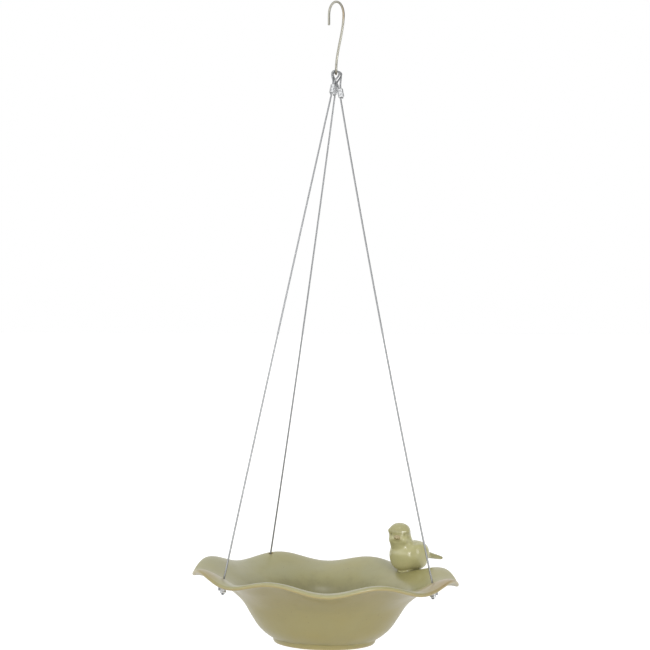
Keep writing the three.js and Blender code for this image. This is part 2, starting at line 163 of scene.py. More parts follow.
# Root and tip of the tail, then its half width and half thickness at the root, in the middle and at the tip.
TAIL = ((-22.0, 0.0, 19.0), (-59.0, 0.0, 10.6), (11.0, 11.4), (7.0, 4.2), (4.0, 1.5))
BEAK = ((10.8, 0.0, -4.2), (4.3, 3.5, 2.5))
# Angle from the beak, reach and height on the head, half sizes, and width of the join.
BROW = (58.0, 8.5, 2.2, (3.5, 4.6, 2.4), 2.2)
CHEEK = (38.0, 7.4, -7.0, (5.8, 5.8, 5.0), 2.6)
EYE_ANGLE, EYE_REACH, EYE_UP = 38.0, 14.25, -1.6
EYE_RADIUS, EYE_SOFT, EYE_MIDDLE = 2.3, 1.3, 11.2
# Shift, tilt and radius; its ends; how far it flares and how fast that fades.
STEM, STEM_ENDS = (-4.5, 15.0, 7.5), (-3.0, 13.0)
STEM_FLARE, STEM_FADE = 1.5, 1.4
# Half sizes of the rough ovals for the beak, along the tail and for the stem, and the stem's slope.
BLANK_BEAK, BLANK_TAIL, BLANK_STEM = (4.2, 4.2, 2.5), 3.6, (8.0, 8.0, 3.0)
BLANK_SLOPE = 0.268
BLOB_ROWS, BLOB_COLUMNS = 26, 40
RIM_END = 139.0

# Stage, in metres and degrees

CAMERA_PLACE = (-0.01091, -1.69345, -0.33809)
CAMERA_LENS, CAMERA_SENSOR, CAMERA_NEAR = 88.576, 36.0, 0.01
CAMERA_DIP, CAMERA_SWAY, CAMERA_ROLL = 0.098, 0.1, 0.282
AIM_HEIGHT = 0.06
# First and last radius and count of the floor's even rings and of its growing ones.
FLOOR_NEAR, FLOOR_FAR = (0.2, 3.0, 15), (3.5, 60.0, 12)
FLOOR_COLUMNS = 96
FLOOR_GLOW = 0.33
# Place, width and height, and share of the front light's power.
LAMPS = {
    "front_light": ((0.94, -1.54, -0.38), (0.32, 0.84), 1.0),
    "right_light": ((1.66, -0.42, -0.36), (0.3, 0.4), 0.18),
    "top_light": ((0.14, -0.7, 1.15), (0.4, 0.3), 0.21),
}

BLACK, WHITE = (0.0, 0.0, 0.0, 1.0), (1.0, 1.0, 1.0, 1.0)
SPECK_TINT = (0.13, 0.095, 0.05, 1.0)
# Painted shade for the grooves between strands.
GROOVE_SHADE_TINT = (0.22, 0.22, 0.225, 1.0)
# Painted shade for the sleeves' crimps.
CRIMP_SHADE_TINT = (0.26, 0.26, 0.265, 1.0)
RUBBED_TINT = (0.68, 0.68, 0.67, 1.0)

# Settings

LENGTH = {"unit": "LENGTH"}
COLOUR = {"size": 3, "min": 0.0, "max": 1.0, "subtype": "COLOR"}


class BowlSettings(bpy.types.PropertyGroup):
    """Sizes and colours of the bowl"""

    rim_radius: FloatProperty(
        name="Rim radius", description="Radius of the bowl at its lip", default=0.140, min=0.05, **LENGTH)
    rim_height: FloatProperty(
        name="Rim height", description="Mean height of the lip above the foot", default=0.073, min=0.02,
        **LENGTH)
    foot_radius: FloatProperty(
        name="Foot radius", description="Outer radius of the foot ring", default=0.054, min=0.02, **LENGTH)
    wall: FloatProperty(
        name="Wall", description="Thickness of the wall", default=0.0042, min=0.002, **LENGTH)
    wave_count: IntProperty(name="Waves", description="Number of waves round the rim", default=8, min=0)
    wave_depth: FloatProperty(
        name="Wave depth", description="Height from a trough to a crest of the rim", default=0.0086,
        **LENGTH)
    hole: FloatProperty(
        name="Hole", description="Diameter of the holes for the wires", default=0.005, min=0.001, **LENGTH)
    glaze: FloatVectorProperty(
        name="Glaze", description="Olive glaze where it lies even", default=(0.288, 0.264, 0.108), **COLOUR)
    glaze_grey: FloatVectorProperty(
        name="Grey glaze", description="Greyer clouds in the glaze", default=(0.283, 0.271, 0.141),
        **COLOUR)
    # Pooled glaze colour; the pool mask also uses it as painted shade on the basin floor.
    glaze_pool: FloatVectorProperty(
        name="Pooled glaze", description="Glaze where it lies thick", default=(0.190, 0.175, 0.072),
        **COLOUR)
    glaze_thin: FloatVectorProperty(
        name="Thin glaze", description="Tan where it breaks on an edge", default=(0.33, 0.27, 0.115),
        **COLOUR)
    # Browner glaze outside, deepest under the lip, where it is painted shade.
    glaze_outer_and_lip_shade: FloatVectorProperty(
        name="Outer glaze", description="Browner outside under the lip", default=(0.262, 0.212, 0.070),
        **COLOUR)
    glaze_blush: FloatVectorProperty(
        name="Blushed glaze", description="Rosy tan beside the wires", default=(0.302, 0.219, 0.094),
        **COLOUR)
    clay: FloatVectorProperty(
        name="Clay", description="Bare fired clay under the foot", default=(0.52, 0.40, 0.29), **COLOUR)


class BirdSettings(bpy.types.PropertyGroup):
    """Pose and colours of the bird"""

    heading: FloatProperty(
        name="Heading", description="Direction the body points in", default=math.radians(220.0),
        subtype="ANGLE")
    head_turn: FloatProperty(
        name="Head turn", description="How far the head looks aside", default=math.radians(34.0),
        subtype="ANGLE")
    glaze: FloatVectorProperty(
        name="Glaze", description="Glaze on the bird", default=(0.40, 0.381, 0.196), **COLOUR)
    # Paler glaze on the bird's edges; the thin mask also paints light low on the body.
    glaze_thin: FloatVectorProperty(
        name="Thin glaze", description="Glaze on the bird's edges", default=(0.47, 0.44, 0.228), **COLOUR)
    # Pooled glaze colour, also used as painted shade under the beak, on the crown and round the stem.
    glaze_pool: FloatVectorProperty(
        name="Pooled glaze", description="Glaze in the bird's creases", default=(0.205, 0.185, 0.075),
        **COLOUR)
    beak: FloatVectorProperty(
        name="Beak", description="Pinkish tint of the beak", default=(0.35, 0.292, 0.160), **COLOUR)


class WireSettings(bpy.types.PropertyGroup):
    """Sizes and colours of the wires and their sleeves"""

    thickness: FloatProperty(
        name="Thickness", description="Diameter of a wire", default=0.0018, min=0.0005, **LENGTH)
    lay: FloatProperty(
        name="Lay", description="Length of one turn of the strands", default=0.012, min=0.004, **LENGTH)
    sleeve_length: FloatProperty(
        name="Sleeve length", description="Length of a crimped sleeve", default=0.009, min=0.003, **LENGTH)
    stop_length: FloatProperty(
        name="Stop length", description="Length of a sleeve below the rim", default=0.0066, min=0.003,
        **LENGTH)
    sleeve_wall: FloatProperty(
        name="Sleeve wall", description="Wall of a crimped sleeve", default=0.0009, min=0.0002, **LENGTH)
    steel: FloatVectorProperty(
        name="Steel", description="Galvanised strands", default=(0.312, 0.318, 0.325), **COLOUR)
    sleeve: FloatVectorProperty(
        name="Sleeve metal", description="Dull metal of the sleeves", default=(0.6, 0.61, 0.62), **COLOUR)


class HookSettings(bpy.types.PropertyGroup):
    """Sizes and colours of the S-hook"""

    thickness: FloatProperty(
        name="Thickness", description="Diameter of the hook's wire", default=0.0025, min=0.001, **LENGTH)
    crook_width: FloatProperty(
        name="Crook width", description="Width of the upper bend between wire middles", default=0.0154,
        min=0.005, **LENGTH)
    crook_rise: FloatProperty(
        name="Crook rise", description="Height of the upper bend's arch", default=0.014, min=0.004,
        **LENGTH)
    bend_radius: FloatProperty(
        name="Lower bend radius", description="Radius of the lower bend at the wire's middle",
        default=0.001 * HOOK_BEND, min=0.003, **LENGTH)
    nickel: FloatVectorProperty(
        name="Plating", description="Warm grey plating", default=(0.33, 0.32, 0.274), **COLOUR)
    brass: FloatVectorProperty(
        name="Worn metal", description="Brownish where the plating is thin", default=(0.34, 0.25, 0.15),
        **COLOUR)


class StageSettings(bpy.types.PropertyGroup):
    """Floor and light"""

    floor_gap: FloatProperty(
        name="Floor gap", description="Height of the foot above the floor", default=0.14, min=0.0, **LENGTH)
    floor: FloatVectorProperty(name="Floor", description="Pale floor", default=(0.88, 0.88, 0.875), **COLOUR)
    soft_light: FloatProperty(name="Soft light", description="Strength of the white surround", default=1.0)
    front_light: FloatProperty(
        name="Front light", description="Power of the tall soft light in front", default=9.8, unit="POWER")


class BirdBathSettings(bpy.types.PropertyGroup):
    """All settings of the bird bath"""

    bowl: PointerProperty(type=BowlSettings)
    bird: PointerProperty(type=BirdSettings)
    wires: PointerProperty(type=WireSettings)
    hook: PointerProperty(type=HookSettings)
    stage: PointerProperty(type=StageSettings)


# Curves


def smooth_step(value, low, high):
    """Nought up to low, one from high on, and between them three shares squared less two shares cubed."""
    share = np.clip((value - low) / (high - low), 0.0, 1.0)
    return share * share * (3.0 - 2.0 * share)


def unit(vectors):
    """Each vector divided by its length."""
    return vectors / np.linalg.norm(vectors, axis=-1, keepdims=True)


def full_turn(count):
    """Angles of a full turn, at even steps."""
    return np.arange(count) * (2.0 * math.pi / count)


def rings_about(radius, height, columns):
    """Rings about the upright axis: radius times cosine, radius times sine, and the height."""
    angle = full_turn(columns)
    level = height + 0.0 * radius * angle
    return np.stack([radius * np.cos(angle), radius * np.sin(angle), level], axis=-1)


def polar(points):
    """Distance of points from the upright axis, and their angle about it."""
    return np.hypot(points[:, 0], points[:, 1]), np.arctan2(points[:, 1], points[:, 0])


def turned_about(vector, axis, angle):
    """A vector square to an axis, turned about it: cosine of itself plus sine of axis cross itself."""
    angle = np.asarray(angle)[..., None]
    return vector * np.cos(angle) + np.cross(axis, vector) * np.sin(angle)


def about_upright(points, angle):
    """Points turned about the upright axis: x cosine less y sine, x sine plus y cosine."""
    x, y, z = np.asarray(points).T
    cos, sin = math.cos(angle), math.sin(angle)
    return np.stack([x * cos - y * sin, x * sin + y * cos, z], axis=-1)


def hang(points):
    """Millimetres of the upright set, leaned about the lower bend and set below the hook's top, in metres."""
    return (points @ LEAN.T - (0.0, 0.0, HOOK_DROP)) * 0.001


def unhang(points):
    """Metres of the frame, back to millimetres of the upright set."""
    return (points * 1000.0 + (0.0, 0.0, HOOK_DROP)) @ LEAN


def cubic(start, end, leave, arrive, step):
    """The cubic from start to end that leaves and arrives along the given tangents."""
    bend = 2.0 * start - 2.0 * end + leave + arrive
    lean = 3.0 * end - 3.0 * start - 2.0 * leave - arrive
    return ((bend * step + lean) * step + leave) * step + start


def smooth_line(points, share):
    """An even Catmull-Rom line: at each point it runs along half the chord of the two neighbours."""
    last = len(points) - 1
    place = np.clip(share, 0.0, 1.0) * last
    span = np.minimum(place.astype(int), last - 1)
    before = points[np.maximum(span - 1, 0)]
    after = points[np.minimum(span + 2, last)]
    start, end = points[span], points[span + 1]
    return cubic(start, end, (end - before) / 2.0, (after - start) / 2.0, (place - span)[:, None])


def run_along(points):
    """The way along a line of points, up to each of them."""
    return np.concatenate([[0.0], np.cumsum(np.linalg.norm(np.diff(points, axis=0), axis=1))])


def at_run(points, run, places):
    """A line of points, read off at places along its run."""
    return np.column_stack([np.interp(places, run, part) for part in points.T])


def even_path(points, step):
    """A centripetal Catmull-Rom path through points, knots spaced by the root of the chord, at even steps."""
    points = np.asarray(points, float)
    padded = np.vstack([2.0 * points[0] - points[1], points, 2.0 * points[-1] - points[-2]])
    p0, p1, p2, p3 = padded[:-3, None], padded[1:-2, None], padded[2:-1, None], padded[3:, None]
    pairs = ((p0, p1), (p1, p2), (p2, p3))
    d0, d1, d2 = (np.linalg.norm(b - a, axis=-1, keepdims=True) ** 0.5 for a, b in pairs)
    leave = ((p1 - p0) / d0 - (p2 - p0) / (d0 + d1) + (p2 - p1) / d1) * d1
    arrive = ((p2 - p1) / d1 - (p3 - p1) / (d1 + d2) + (p3 - p2) / d2) * d1
    share = np.linspace(0.0, 1.0, PATH_STEPS, endpoint=False)[None, :, None]
    dense = np.vstack([cubic(p1, p2, leave, arrive, share).reshape(-1, 3), points[-1:]])
    run = run_along(dense)
    even = np.linspace(0.0, run[-1], max(2, int(round(run[-1] / step)) + 1))
    return at_run(dense, run, even), even


def even_outline(points, count):
    """A flat line resampled at equal steps of its length."""
    run = run_along(points)
    return at_run(points, run, np.linspace(0.0, run[-1], count))


def corner_cut(points, times):
    """A flat line with rounded corners: each pass keeps a side's points at a quarter and three quarters."""
    for _ in range(times):
        a, b = points[:-1], points[1:]
        inner = np.stack([0.75 * a + 0.25 * b, 0.25 * a + 0.75 * b], axis=1).reshape(-1, 2)
        points = np.vstack([points[:1], inner[1:-1], points[-1:]])
    return points


def carry(path, guide, radius):
    """Rings along a path: radius times cosine of a side vector square to it plus sine of the third vector."""
    ahead = unit(np.gradient(path, axis=0))
    side = unit(guide - np.einsum("ij,ij->i", guide, ahead)[:, None] * ahead)
    third = np.cross(ahead, side)
    angle = full_turn(radius.shape[1])
    ring = side[:, None] * np.cos(angle)[None, :, None] + third[:, None] * np.sin(angle)[None, :, None]
    return path[:, None] + ring * radius[..., None]


# Meshes


def grid_quads(rows, columns, wrap_rows=False):
    """Quads of a grid whose columns close on themselves, and whose rows do too if asked."""
    row = np.arange(rows if wrap_rows else rows - 1)[:, None]
    column = np.arange(columns)[None, :]
    across = (column + 1) % columns
    start, below = row * columns, (row + 1) % rows * columns
    return np.stack([start + column, start + across, below + across, below + column], axis=-1).reshape(-1, 4)


def cap_fan(ring, centre, flip):
    """Triangles from the points of a ring to one centre point."""
    after = np.roll(ring, -1)
    middle = np.full(len(ring), centre)
    order = [after, ring, middle] if flip else [ring, after, middle]
    return np.stack(order, axis=-1)


def capped(rings):
    """Points, quads and triangles of a tube of rings whose two ends close to the middle of their ring."""
    rows, columns = rings.shape[:2]
    ends = rings[[0, -1]].mean(axis=1)
    points = np.vstack([rings.reshape(-1, 3), ends])
    first = np.arange(columns)
    fans = [cap_fan(first, rows * columns, True)]
    fans.append(cap_fan(first + (rows - 1) * columns, rows * columns + 1, False))
    return points, grid_quads(rows, columns), np.vstack(fans)


def outward(points, quads, triangles):
    """Faces turned so that the volume they enclose, a sixth of the sum of triple products, is positive."""
    halves = np.vstack([triangles, quads[:, [0, 1, 2]], quads[:, [0, 2, 3]]])
    a, b, c = (points[halves[:, corner]] for corner in range(3))
    if np.einsum("ij,ij->", a, np.cross(b, c)) > 0.0:
        return quads, triangles
    return quads[:, ::-1], triangles[:, ::-1]


def make_mesh(name, points, quads, triangles=np.empty((0, 3), int)):
    """A smooth mesh from arrays of points, quads and triangles, its faces pointing outwards."""
    faces = outward(points, quads, triangles)
    corners = np.concatenate([part.ravel() for part in faces]).astype(np.int32)
    sizes = np.concatenate([np.full(len(part), part.shape[1]) for part in faces])
    starts = np.concatenate([[0], np.cumsum(sizes)[:-1]]).astype(np.int32)
    mesh = bpy.data.meshes.new(name)
    mesh.vertices.add(len(points))
    mesh.vertices.foreach_set("co", np.ascontiguousarray(points, dtype=np.float32).ravel())
    mesh.loops.add(len(corners))
    mesh.loops.foreach_set("vertex_index", corners)
    mesh.polygons.add(len(sizes))
    mesh.polygons.foreach_set("loop_start", starts)
    mesh.update(calc_edges=True)
    mesh.shade_smooth()
    return mesh


def add_object(name, data):
    """A new object at the origin that shows a mesh, a lamp or a camera."""
    made = bpy.data.objects.new(name, data)
    bpy.context.scene.collection.objects.link(made)
    return made


def applied(made):
    """The object's mesh replaced by what its modifiers make of it."""
    depsgraph = bpy.context.evaluated_depsgraph_get()
    finished = bpy.data.meshes.new_from_object(made.evaluated_get(depsgraph), depsgraph=depsgraph)
    old = made.data
    made.modifiers.clear()
    made.data = finished
    finished.name = made.name
    bpy.data.meshes.remove(old)
    finished.shade_smooth()


def cut_away(made, cutters):
    """The object less each of the cutters, which are removed afterwards."""
    for cutter in cutters:
        cut = made.modifiers.new("cut", "BOOLEAN")
        cut.operation = "DIFFERENCE"
        cut.solver = "MANIFOLD"
        cut.object = cutter
    applied(made)
    for cutter in cutters:
        mesh = cutter.data
        bpy.data.objects.remove(cutter)
        bpy.data.meshes.remove(mesh)


def read_points(mesh, key="co"):
    """The places of the mesh's points, or their normals, as an array."""
    flat = np.empty(len(mesh.vertices) * 3, np.float32)
    mesh.vertices.foreach_get(key, flat)
    return flat.reshape(-1, 3).astype(float)


def write_masks(mesh, **masks):
    """Numbers from nought to one for each point of the mesh, under names that its material reads."""
    for name, values in masks.items():
        layer = mesh.attributes.new(name, "FLOAT", "POINT")
        layer.data.foreach_set("value", np.clip(values, 0.0, 1.0).astype(np.float32).ravel())


def hollow_of(mesh, passes):
    """How far the mean of a point's neighbours stands out along its normal: positive in a crease."""
    points, normals = read_points(mesh), read_points(mesh, "normal")
    edges = np.empty(len(mesh.edges) * 2, np.int32)
    mesh.edges.foreach_get("vertices", edges)
    a, b = edges.reshape(-1, 2).T
    count = np.bincount(edges, minlength=len(points))[:, None]

    def neighbours(values):
        total = np.zeros_like(values)
        np.add.at(total, a, values[b])
        np.add.at(total, b, values[a])
        return total / np.maximum(count, 1)

    value = np.einsum("ij,ij->i", neighbours(points) - points, normals)[:, None]
    for _ in range(passes):
        value = 0.5 * value + 0.5 * neighbours(value)
    return value[:, 0] * 1000.0


def show(made, finish, body, slot, *nodes):
    """Gives a finished object its material, its body and the CAD nodes it stands for; the slot is not used.
    """
    made.data.materials.clear()
    made.data.materials.append(finish)
    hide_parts(*nodes)
    if body:
        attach(made, body)


# Materials


class Tone:
    """One socket of a material. Sums, differences and products of tones add the nodes that work them out."""

    def __init__(self, tree, socket=None):
        self.tree = tree
        self.socket = socket

    def node(self, kind, settings=None, inputs=None, output=0):
        """A node of any kind: its settings, then the values or links of its sockets; gives one output."""
        made = self.tree.nodes.new(kind)
        for key, value in (settings or {}).items():
            setattr(made, key, value)
        for key, value in (inputs or {}).items():
            if isinstance(value, Tone):
                self.tree.links.new(value.socket, made.inputs[key])
            else:
                made.inputs[key].default_value = value
        return Tone(self.tree, made.outputs[output] if len(made.outputs) else None)

    def math(self, operation, first, second):
        """A sum, difference or product of two tones, or of a tone and a number."""
        return self.node("ShaderNodeMath", {"operation": operation}, {0: first, 1: second})

    def __add__(self, other):
        return self.math("ADD", self, other)

    def __radd__(self, other):
        return self.math("ADD", other, self)

    def __sub__(self, other):
        return self.math("SUBTRACT", self, other)

    def __rsub__(self, other):
        return self.math("SUBTRACT", other, self)

    def __mul__(self, other):
        return self.math("MULTIPLY", self, other)

    def step(self, low, high):
        """A smooth step of this tone from nought at low to one at high."""
        settings = {"interpolation_type": "SMOOTHSTEP"}
        return self.node("ShaderNodeMapRange", settings, {"Value": self, "From Min": low, "From Max": high})

    def blend(self, first, second):
        """The first colour where this tone is nought, the second where it is one."""
        return self.node("ShaderNodeMix", {"data_type": "RGBA"}, {0: self, 6: first, 7: second}, 2)

    def noise(self, where, scale, detail=2.0, roughness=0.5):
        """Soft noise, from nought to one."""
        inputs = {"Vector": where, "Scale": scale, "Detail": detail, "Roughness": roughness}
        return self.node("ShaderNodeTexNoise", None, inputs, "Fac")

    def mask(self, name):
        """A number kept on the points of the mesh."""
        return self.node("ShaderNodeAttribute", {"attribute_name": name}, None, "Fac")

    def place(self, scale=(1.0, 1.0, 1.0)):
        """The point on the object, scaled."""
        where = self.node("ShaderNodeTexCoord", None, None, "Object")
        return self.node("ShaderNodeMapping", None, {"Vector": where, "Scale": scale})

    def axes(self, where):
        """The three parts of a place or a direction."""
        return [self.node("ShaderNodeSeparateXYZ", None, {"Vector": where}, axis) for axis in "XYZ"]

    def bump(self, height, distance, strength):
        """The surface's normal, tilted by a height."""
        inputs = {"Height": height, "Distance": distance, "Strength": strength}
        return self.node("ShaderNodeBump", None, inputs)

    def close(self, **sockets):
        """The shader that ends a material: sockets are named with underscores for spaces."""
        inputs = {key.replace("_", " "): value for key, value in sockets.items()}
        shader = self.node("ShaderNodeBsdfPrincipled", None, inputs)
        self.node("ShaderNodeOutputMaterial", None, {"Surface": shader})


def new_finish(name):
    """An empty material and the tone that its nodes grow from."""
    finish = bpy.data.materials.new(name)
    finish.use_nodes = True
    finish.node_tree.nodes.clear()
    return finish, Tone(finish.node_tree)


def rgba(colour, share=1.0):
    """A share of a colour, with full cover."""
    return (*(share * part for part in colour), 1.0)


def bowl_glaze(bowl):
    """Olive glaze: grey clouds, dark pools with painted shade on the basin floor, painted shade under the
    lip, specks, tan edges, rosy by the wires, bare clay below.
    """
    finish, tone = new_finish("olive_glaze")
    where = tone.place()
    cloud = tone.noise(where, 14.0, 3.0, 0.55)
    mottle = tone.noise(where, 95.0, 4.0, 0.6)
    grain = tone.noise(where, 900.0, 2.0)
    runs = tone.noise(tone.place((60.0, 60.0, 9.0)), 1.0, 3.0)
    patchy = 0.55 + mottle * 0.9
    bare = tone.mask("bare")
    clouded = cloud.step(0.35, 0.7)
    colour = clouded.blend(rgba(bowl.glaze), rgba(bowl.glaze_grey))
    paler = [0.8 * part + 0.2 * grey for part, grey in zip(bowl.glaze_outer_and_lip_shade, bowl.glaze_grey)]
    # Browner outside, deepest under the lip: partly the outer glaze, partly painted shade under the rim.
    colour = tone.mask("outer").blend(colour, clouded.blend(rgba(bowl.glaze_outer_and_lip_shade), rgba(paler)))
    # Dark pools: random runs, plus the pool mask, which is partly painted shade on the basin floor.
    uneven = (mottle * 0.6 + runs * 0.4).step(0.42, 0.66) * 0.3 + tone.mask("pool")
    colour = uneven.step(0.0, 1.25).blend(colour, rgba(bowl.glaze_pool))
    breaking = (tone.mask("thin") * patchy).step(0.12, 0.85)
    colour = (breaking * 0.9).blend(colour, rgba(bowl.glaze_thin))
    warm = (tone.mask("blush") * patchy).step(0.1, 0.95)
    colour = (warm * 0.85).blend(colour, rgba(bowl.glaze_blush))
    cells = {"Vector": where, "Scale": 260.0}
    speck = tone.node("ShaderNodeTexVoronoi", {"feature": "F1"}, cells, "Distance")
    dots = (1.0 - speck.step(0.1, 0.2)) * tone.noise(where, 120.0, 1.0).step(0.56, 0.66)
    colour = (dots * 0.45).blend(colour, SPECK_TINT)
    sandy = grain.step(0.3, 0.75).blend(rgba(bowl.clay), rgba(bowl.clay, 0.82))
    colour = bare.blend(colour, sandy)
    rough = (0.25 + mottle * 0.1) * (1.0 - bare) + bare * 0.82
    height = cloud * 0.5 + mottle * 0.12 + grain * 0.012 + bare * (grain * 0.12)
    tone.close(Base_Color=colour, Roughness=rough, IOR=1.6, Normal=tone.bump(height, 0.0006, 0.5))
    return finish


def bird_glaze(bird):
    """Gloss glaze on the bird: darker in creases and round the stem, pooled glaze with painted shade, painted
    shadow under the beak, painted shade on the crown; paler on edges and, as painted light, low on the body;
    a pinkish beak.
    """
    finish, tone = new_finish("bird_glaze")
    where = tone.place()
    cloud = tone.noise(where, 70.0, 3.0, 0.55)
    mottle = tone.noise(where, 320.0, 3.0, 0.6)
    grain = tone.noise(where, 1600.0, 2.0)
    # Pooled glaze and painted shade: creases, painted shadow under the beak, painted shade on the crown and
    # where the bird meets the rim.
    pool = tone.mask("pool") + cloud.step(0.5, 0.75) * 0.14
    colour = pool.step(0.0, 1.0).blend(rgba(bird.glaze), rgba(bird.glaze_pool))
    # Paler on edges, and painted light low on the body.
    thin = (tone.mask("thin") * (0.5 + mottle * 0.8)).step(0.15, 0.9)
    colour = thin.blend(colour, rgba(bird.glaze_thin))
    beak = (tone.mask("beak") * (0.7 + mottle * 0.5)).step(0.15, 0.8)
    colour = beak.blend(colour, rgba(bird.beak))
    rough = 0.155 + mottle * 0.06
    height = cloud * 0.3 + mottle * 0.1 + grain * 0.01
    tone.close(Base_Color=colour, Roughness=rough, IOR=1.5, Normal=tone.bump(height, 0.0004, 0.5))
    return finish


def wire_steel(wires):
    """Bright galvanised strands, dull in the grooves between them, with painted shade there."""
    finish, tone = new_finish("wire_steel")
    groove = tone.mask("groove")
    spangle = tone.noise(tone.place(), 420.0, 3.0, 0.6)
    colour = (spangle * 0.35).blend(rgba(wires.steel), rgba(wires.steel, 0.72))
    # Painted shade in the grooves between strands.
    colour = (groove.step(0.2, 1.0) * 0.35).blend(colour, GROOVE_SHADE_TINT)
    rough = 0.3 + spangle * 0.16 + groove * 0.15
    tone.close(Base_Color=colour, Metallic=1.0, Roughness=rough, Normal=tone.bump(spangle, 0.00004, 0.4))
    return finish


def sleeve_metal(wires):
    """Dull pressed metal: painted shade in the crimps, brighter on the rubbed edges, fine scratches along it.
    """
    finish, tone = new_finish("sleeve_metal")
    blotch = tone.noise(tone.place(), 380.0, 3.0, 0.6)
    scratch = tone.noise(tone.place((2600.0, 2600.0, 240.0)), 1.0, 2.0)
    colour = (blotch * 0.5).blend(rgba(wires.sleeve), rgba(wires.sleeve, 0.66))
    # Painted shade in the crimps.
    colour = (tone.mask("crimp") * 0.4).blend(colour, CRIMP_SHADE_TINT)
    colour = tone.mask("rubbed").blend(colour, RUBBED_TINT)
    rough = 0.34 + blotch * 0.16 + scratch * 0.08
    normal = tone.bump(scratch * 0.4 + blotch, 0.00006, 0.5)
    tone.close(Base_Color=colour, Metallic=1.0, Roughness=rough, Normal=normal)
    return finish


def hook_plating(hook):
    """Warm grey plating, brownish where it is thin, with drawn lines along the wire."""
    finish, tone = new_finish("hook_plating")
    blotch = tone.noise(tone.place(), 160.0, 3.0, 0.6)
    drawn = tone.noise(tone.place((2400.0, 2400.0, 160.0)), 1.0, 2.0)
    colour = (blotch * 0.4).blend(rgba(hook.nickel), rgba(hook.nickel, 0.7))
    worn = (tone.mask("worn") * (0.45 + blotch * 0.9)).step(0.1, 1.0)
    colour = worn.blend(colour, rgba(hook.brass))
    rough = 0.24 + blotch * 0.14 + drawn * 0.06
    normal = tone.bump(drawn * 0.5 + blotch, 0.00005, 0.5)
    tone.close(Base_Color=colour, Metallic=1.0, Roughness=rough, Normal=normal)
    return finish


def floor_paint(stage):
    """Matt white floor with the faintest clouds, glowing a little far behind."""
    finish, tone = new_finish("pale_floor")
    where = tone.place()
    cloud = tone.noise(where, 1.5, 3.0)
    colour = (cloud * 0.25).blend(rgba(stage.floor), rgba(stage.floor, 0.96))
    glow = tone.axes(where)[1].step(0.35, 0.8).blend(BLACK, WHITE)
    tone.close(Base_Color=colour, Roughness=0.9, Emission_Color=glow, Emission_Strength=FLOOR_GLOW)
    return finish


# Bowl


def bowl_wall(bowl):
    """The wall's middle line from axis to lip, its slope, the way to its top side and half its thickness.

    The line is a smooth line through the shares of the way from the foot to the lip. The floor's thickness
    runs into the wall's over the flat part.
    """
    foot, wall = 1000.0 * bowl.foot_radius, 1000.0 * bowl.wall
    lip, top = 1000.0 * bowl.rim_radius - wall / 2.0, 1000.0 * bowl.rim_height - wall / 2.0
    flat = FOOT_HEIGHT + FLOOR_THICKNESS / 2.0
    near, far = FLOOR_SHARES
    floor = np.array([(0.0, flat), (near * foot, flat), (far * foot, flat + FLOOR_DISH)])
    rising = np.array([foot, flat]) + np.array([lip - foot, top - flat]) * WALL_LINE
    share = np.linspace(0.0, 1.0, WALL_STEPS)
    line = smooth_line(np.vstack([floor, rising]), share)
    slope = unit(np.gradient(line, axis=0))
    across = np.column_stack([-slope[:, 1], slope[:, 0]])
    half = np.interp(share, [0.0, WALL_SHARE], [FLOOR_THICKNESS / 2.0, wall / 2.0])
    return line, slope, across, half, share


def rim_wave(bowl, radius, angle):
    """Rise of the rim: waves, less a droop to one side and a saddle, times a power of the way to the lip."""
    out = (radius - WAVE_START) / (1000.0 * (bowl.rim_radius - bowl.wall) - WAVE_START)
    grown = np.clip(out, 0.0, 1.0) ** WAVE_GROWTH
    wave = 500.0 * bowl.wave_depth * np.cos(bowl.wave_count * (angle - WAVE_CREST))
    droop = DROOP[0] * np.cos(angle - DROOP[1])
    sag = SAG[0] * np.cos(2.0 * (angle - SAG[1]))
    return grown * (wave - droop - sag)


def wall_height(bowl, radius, angle, side):
    """Height above the foot of the wall's top side (1) or underside (-1) at a radius and angle."""
    line, _, across, half, _ = bowl_wall(bowl)
    face = line + side * across * half[:, None]
    return np.interp(radius, face[:, 0], face[:, 1]) + rim_wave(bowl, radius, angle)


def on_rim(bowl, inset, angle, side=1):
    """The point on a side of the hanging rim, by its distance from the lip and its angle in degrees."""
    radius, turn = 1000.0 * bowl.rim_radius - inset, math.radians(angle)
    height = float(wall_height(bowl, radius, turn, side)) - BOWL_DROP
    return np.array([radius * math.cos(turn), radius * math.sin(turn), height])


def bowl_profile(bowl):
    """The outline turned into the bowl: top side, half-round lip, underside and the rounded foot ring."""
    line, slope, across, half, share = bowl_wall(bowl)
    top = line + across * half[:, None]
    under = (line - across * half[:, None])[share >= WALL_SHARE][::-1]
    turn = np.linspace(math.pi / 2.0, -math.pi / 2.0, LIP_ROWS)[1:-1, None]
    lip = line[-1] + (slope[-1] * np.cos(turn) + across[-1] * np.sin(turn)) * half[-1]
    foot = 1000.0 * bowl.foot_radius
    inner = foot - FOOT_WIDTH
    ring = np.array([
        under[-1], (foot, FOOT_HEIGHT), (foot - 0.3 * FOOT_ROUND, 0.5 * FOOT_ROUND), (foot - FOOT_ROUND, 0.0),
        (0.5 * (foot - FOOT_ROUND + inner), 0.0), (inner, 0.0), (inner - 0.75 * FOOT_ROUND, FOOT_HEIGHT),
        (0.5 * inner, FOOT_HEIGHT),
    ])
    rounded = even_outline(corner_cut(ring, 3), FOOT_ROWS)
    return np.vstack([even_outline(top, TOP_ROWS), lip, even_outline(under, UNDER_ROWS)[:-1], rounded])


def turn_profile(profile, columns):
    """A profile turned about the axis: x is radius times cosine, y radius times sine; its ends are closed."""
    points, quads, fans = capped(rings_about(profile[1:, 0, None], profile[1:, 1, None], columns))
    points[-2] = (0.0, 0.0, profile[0, 1])
    return points, quads, fans


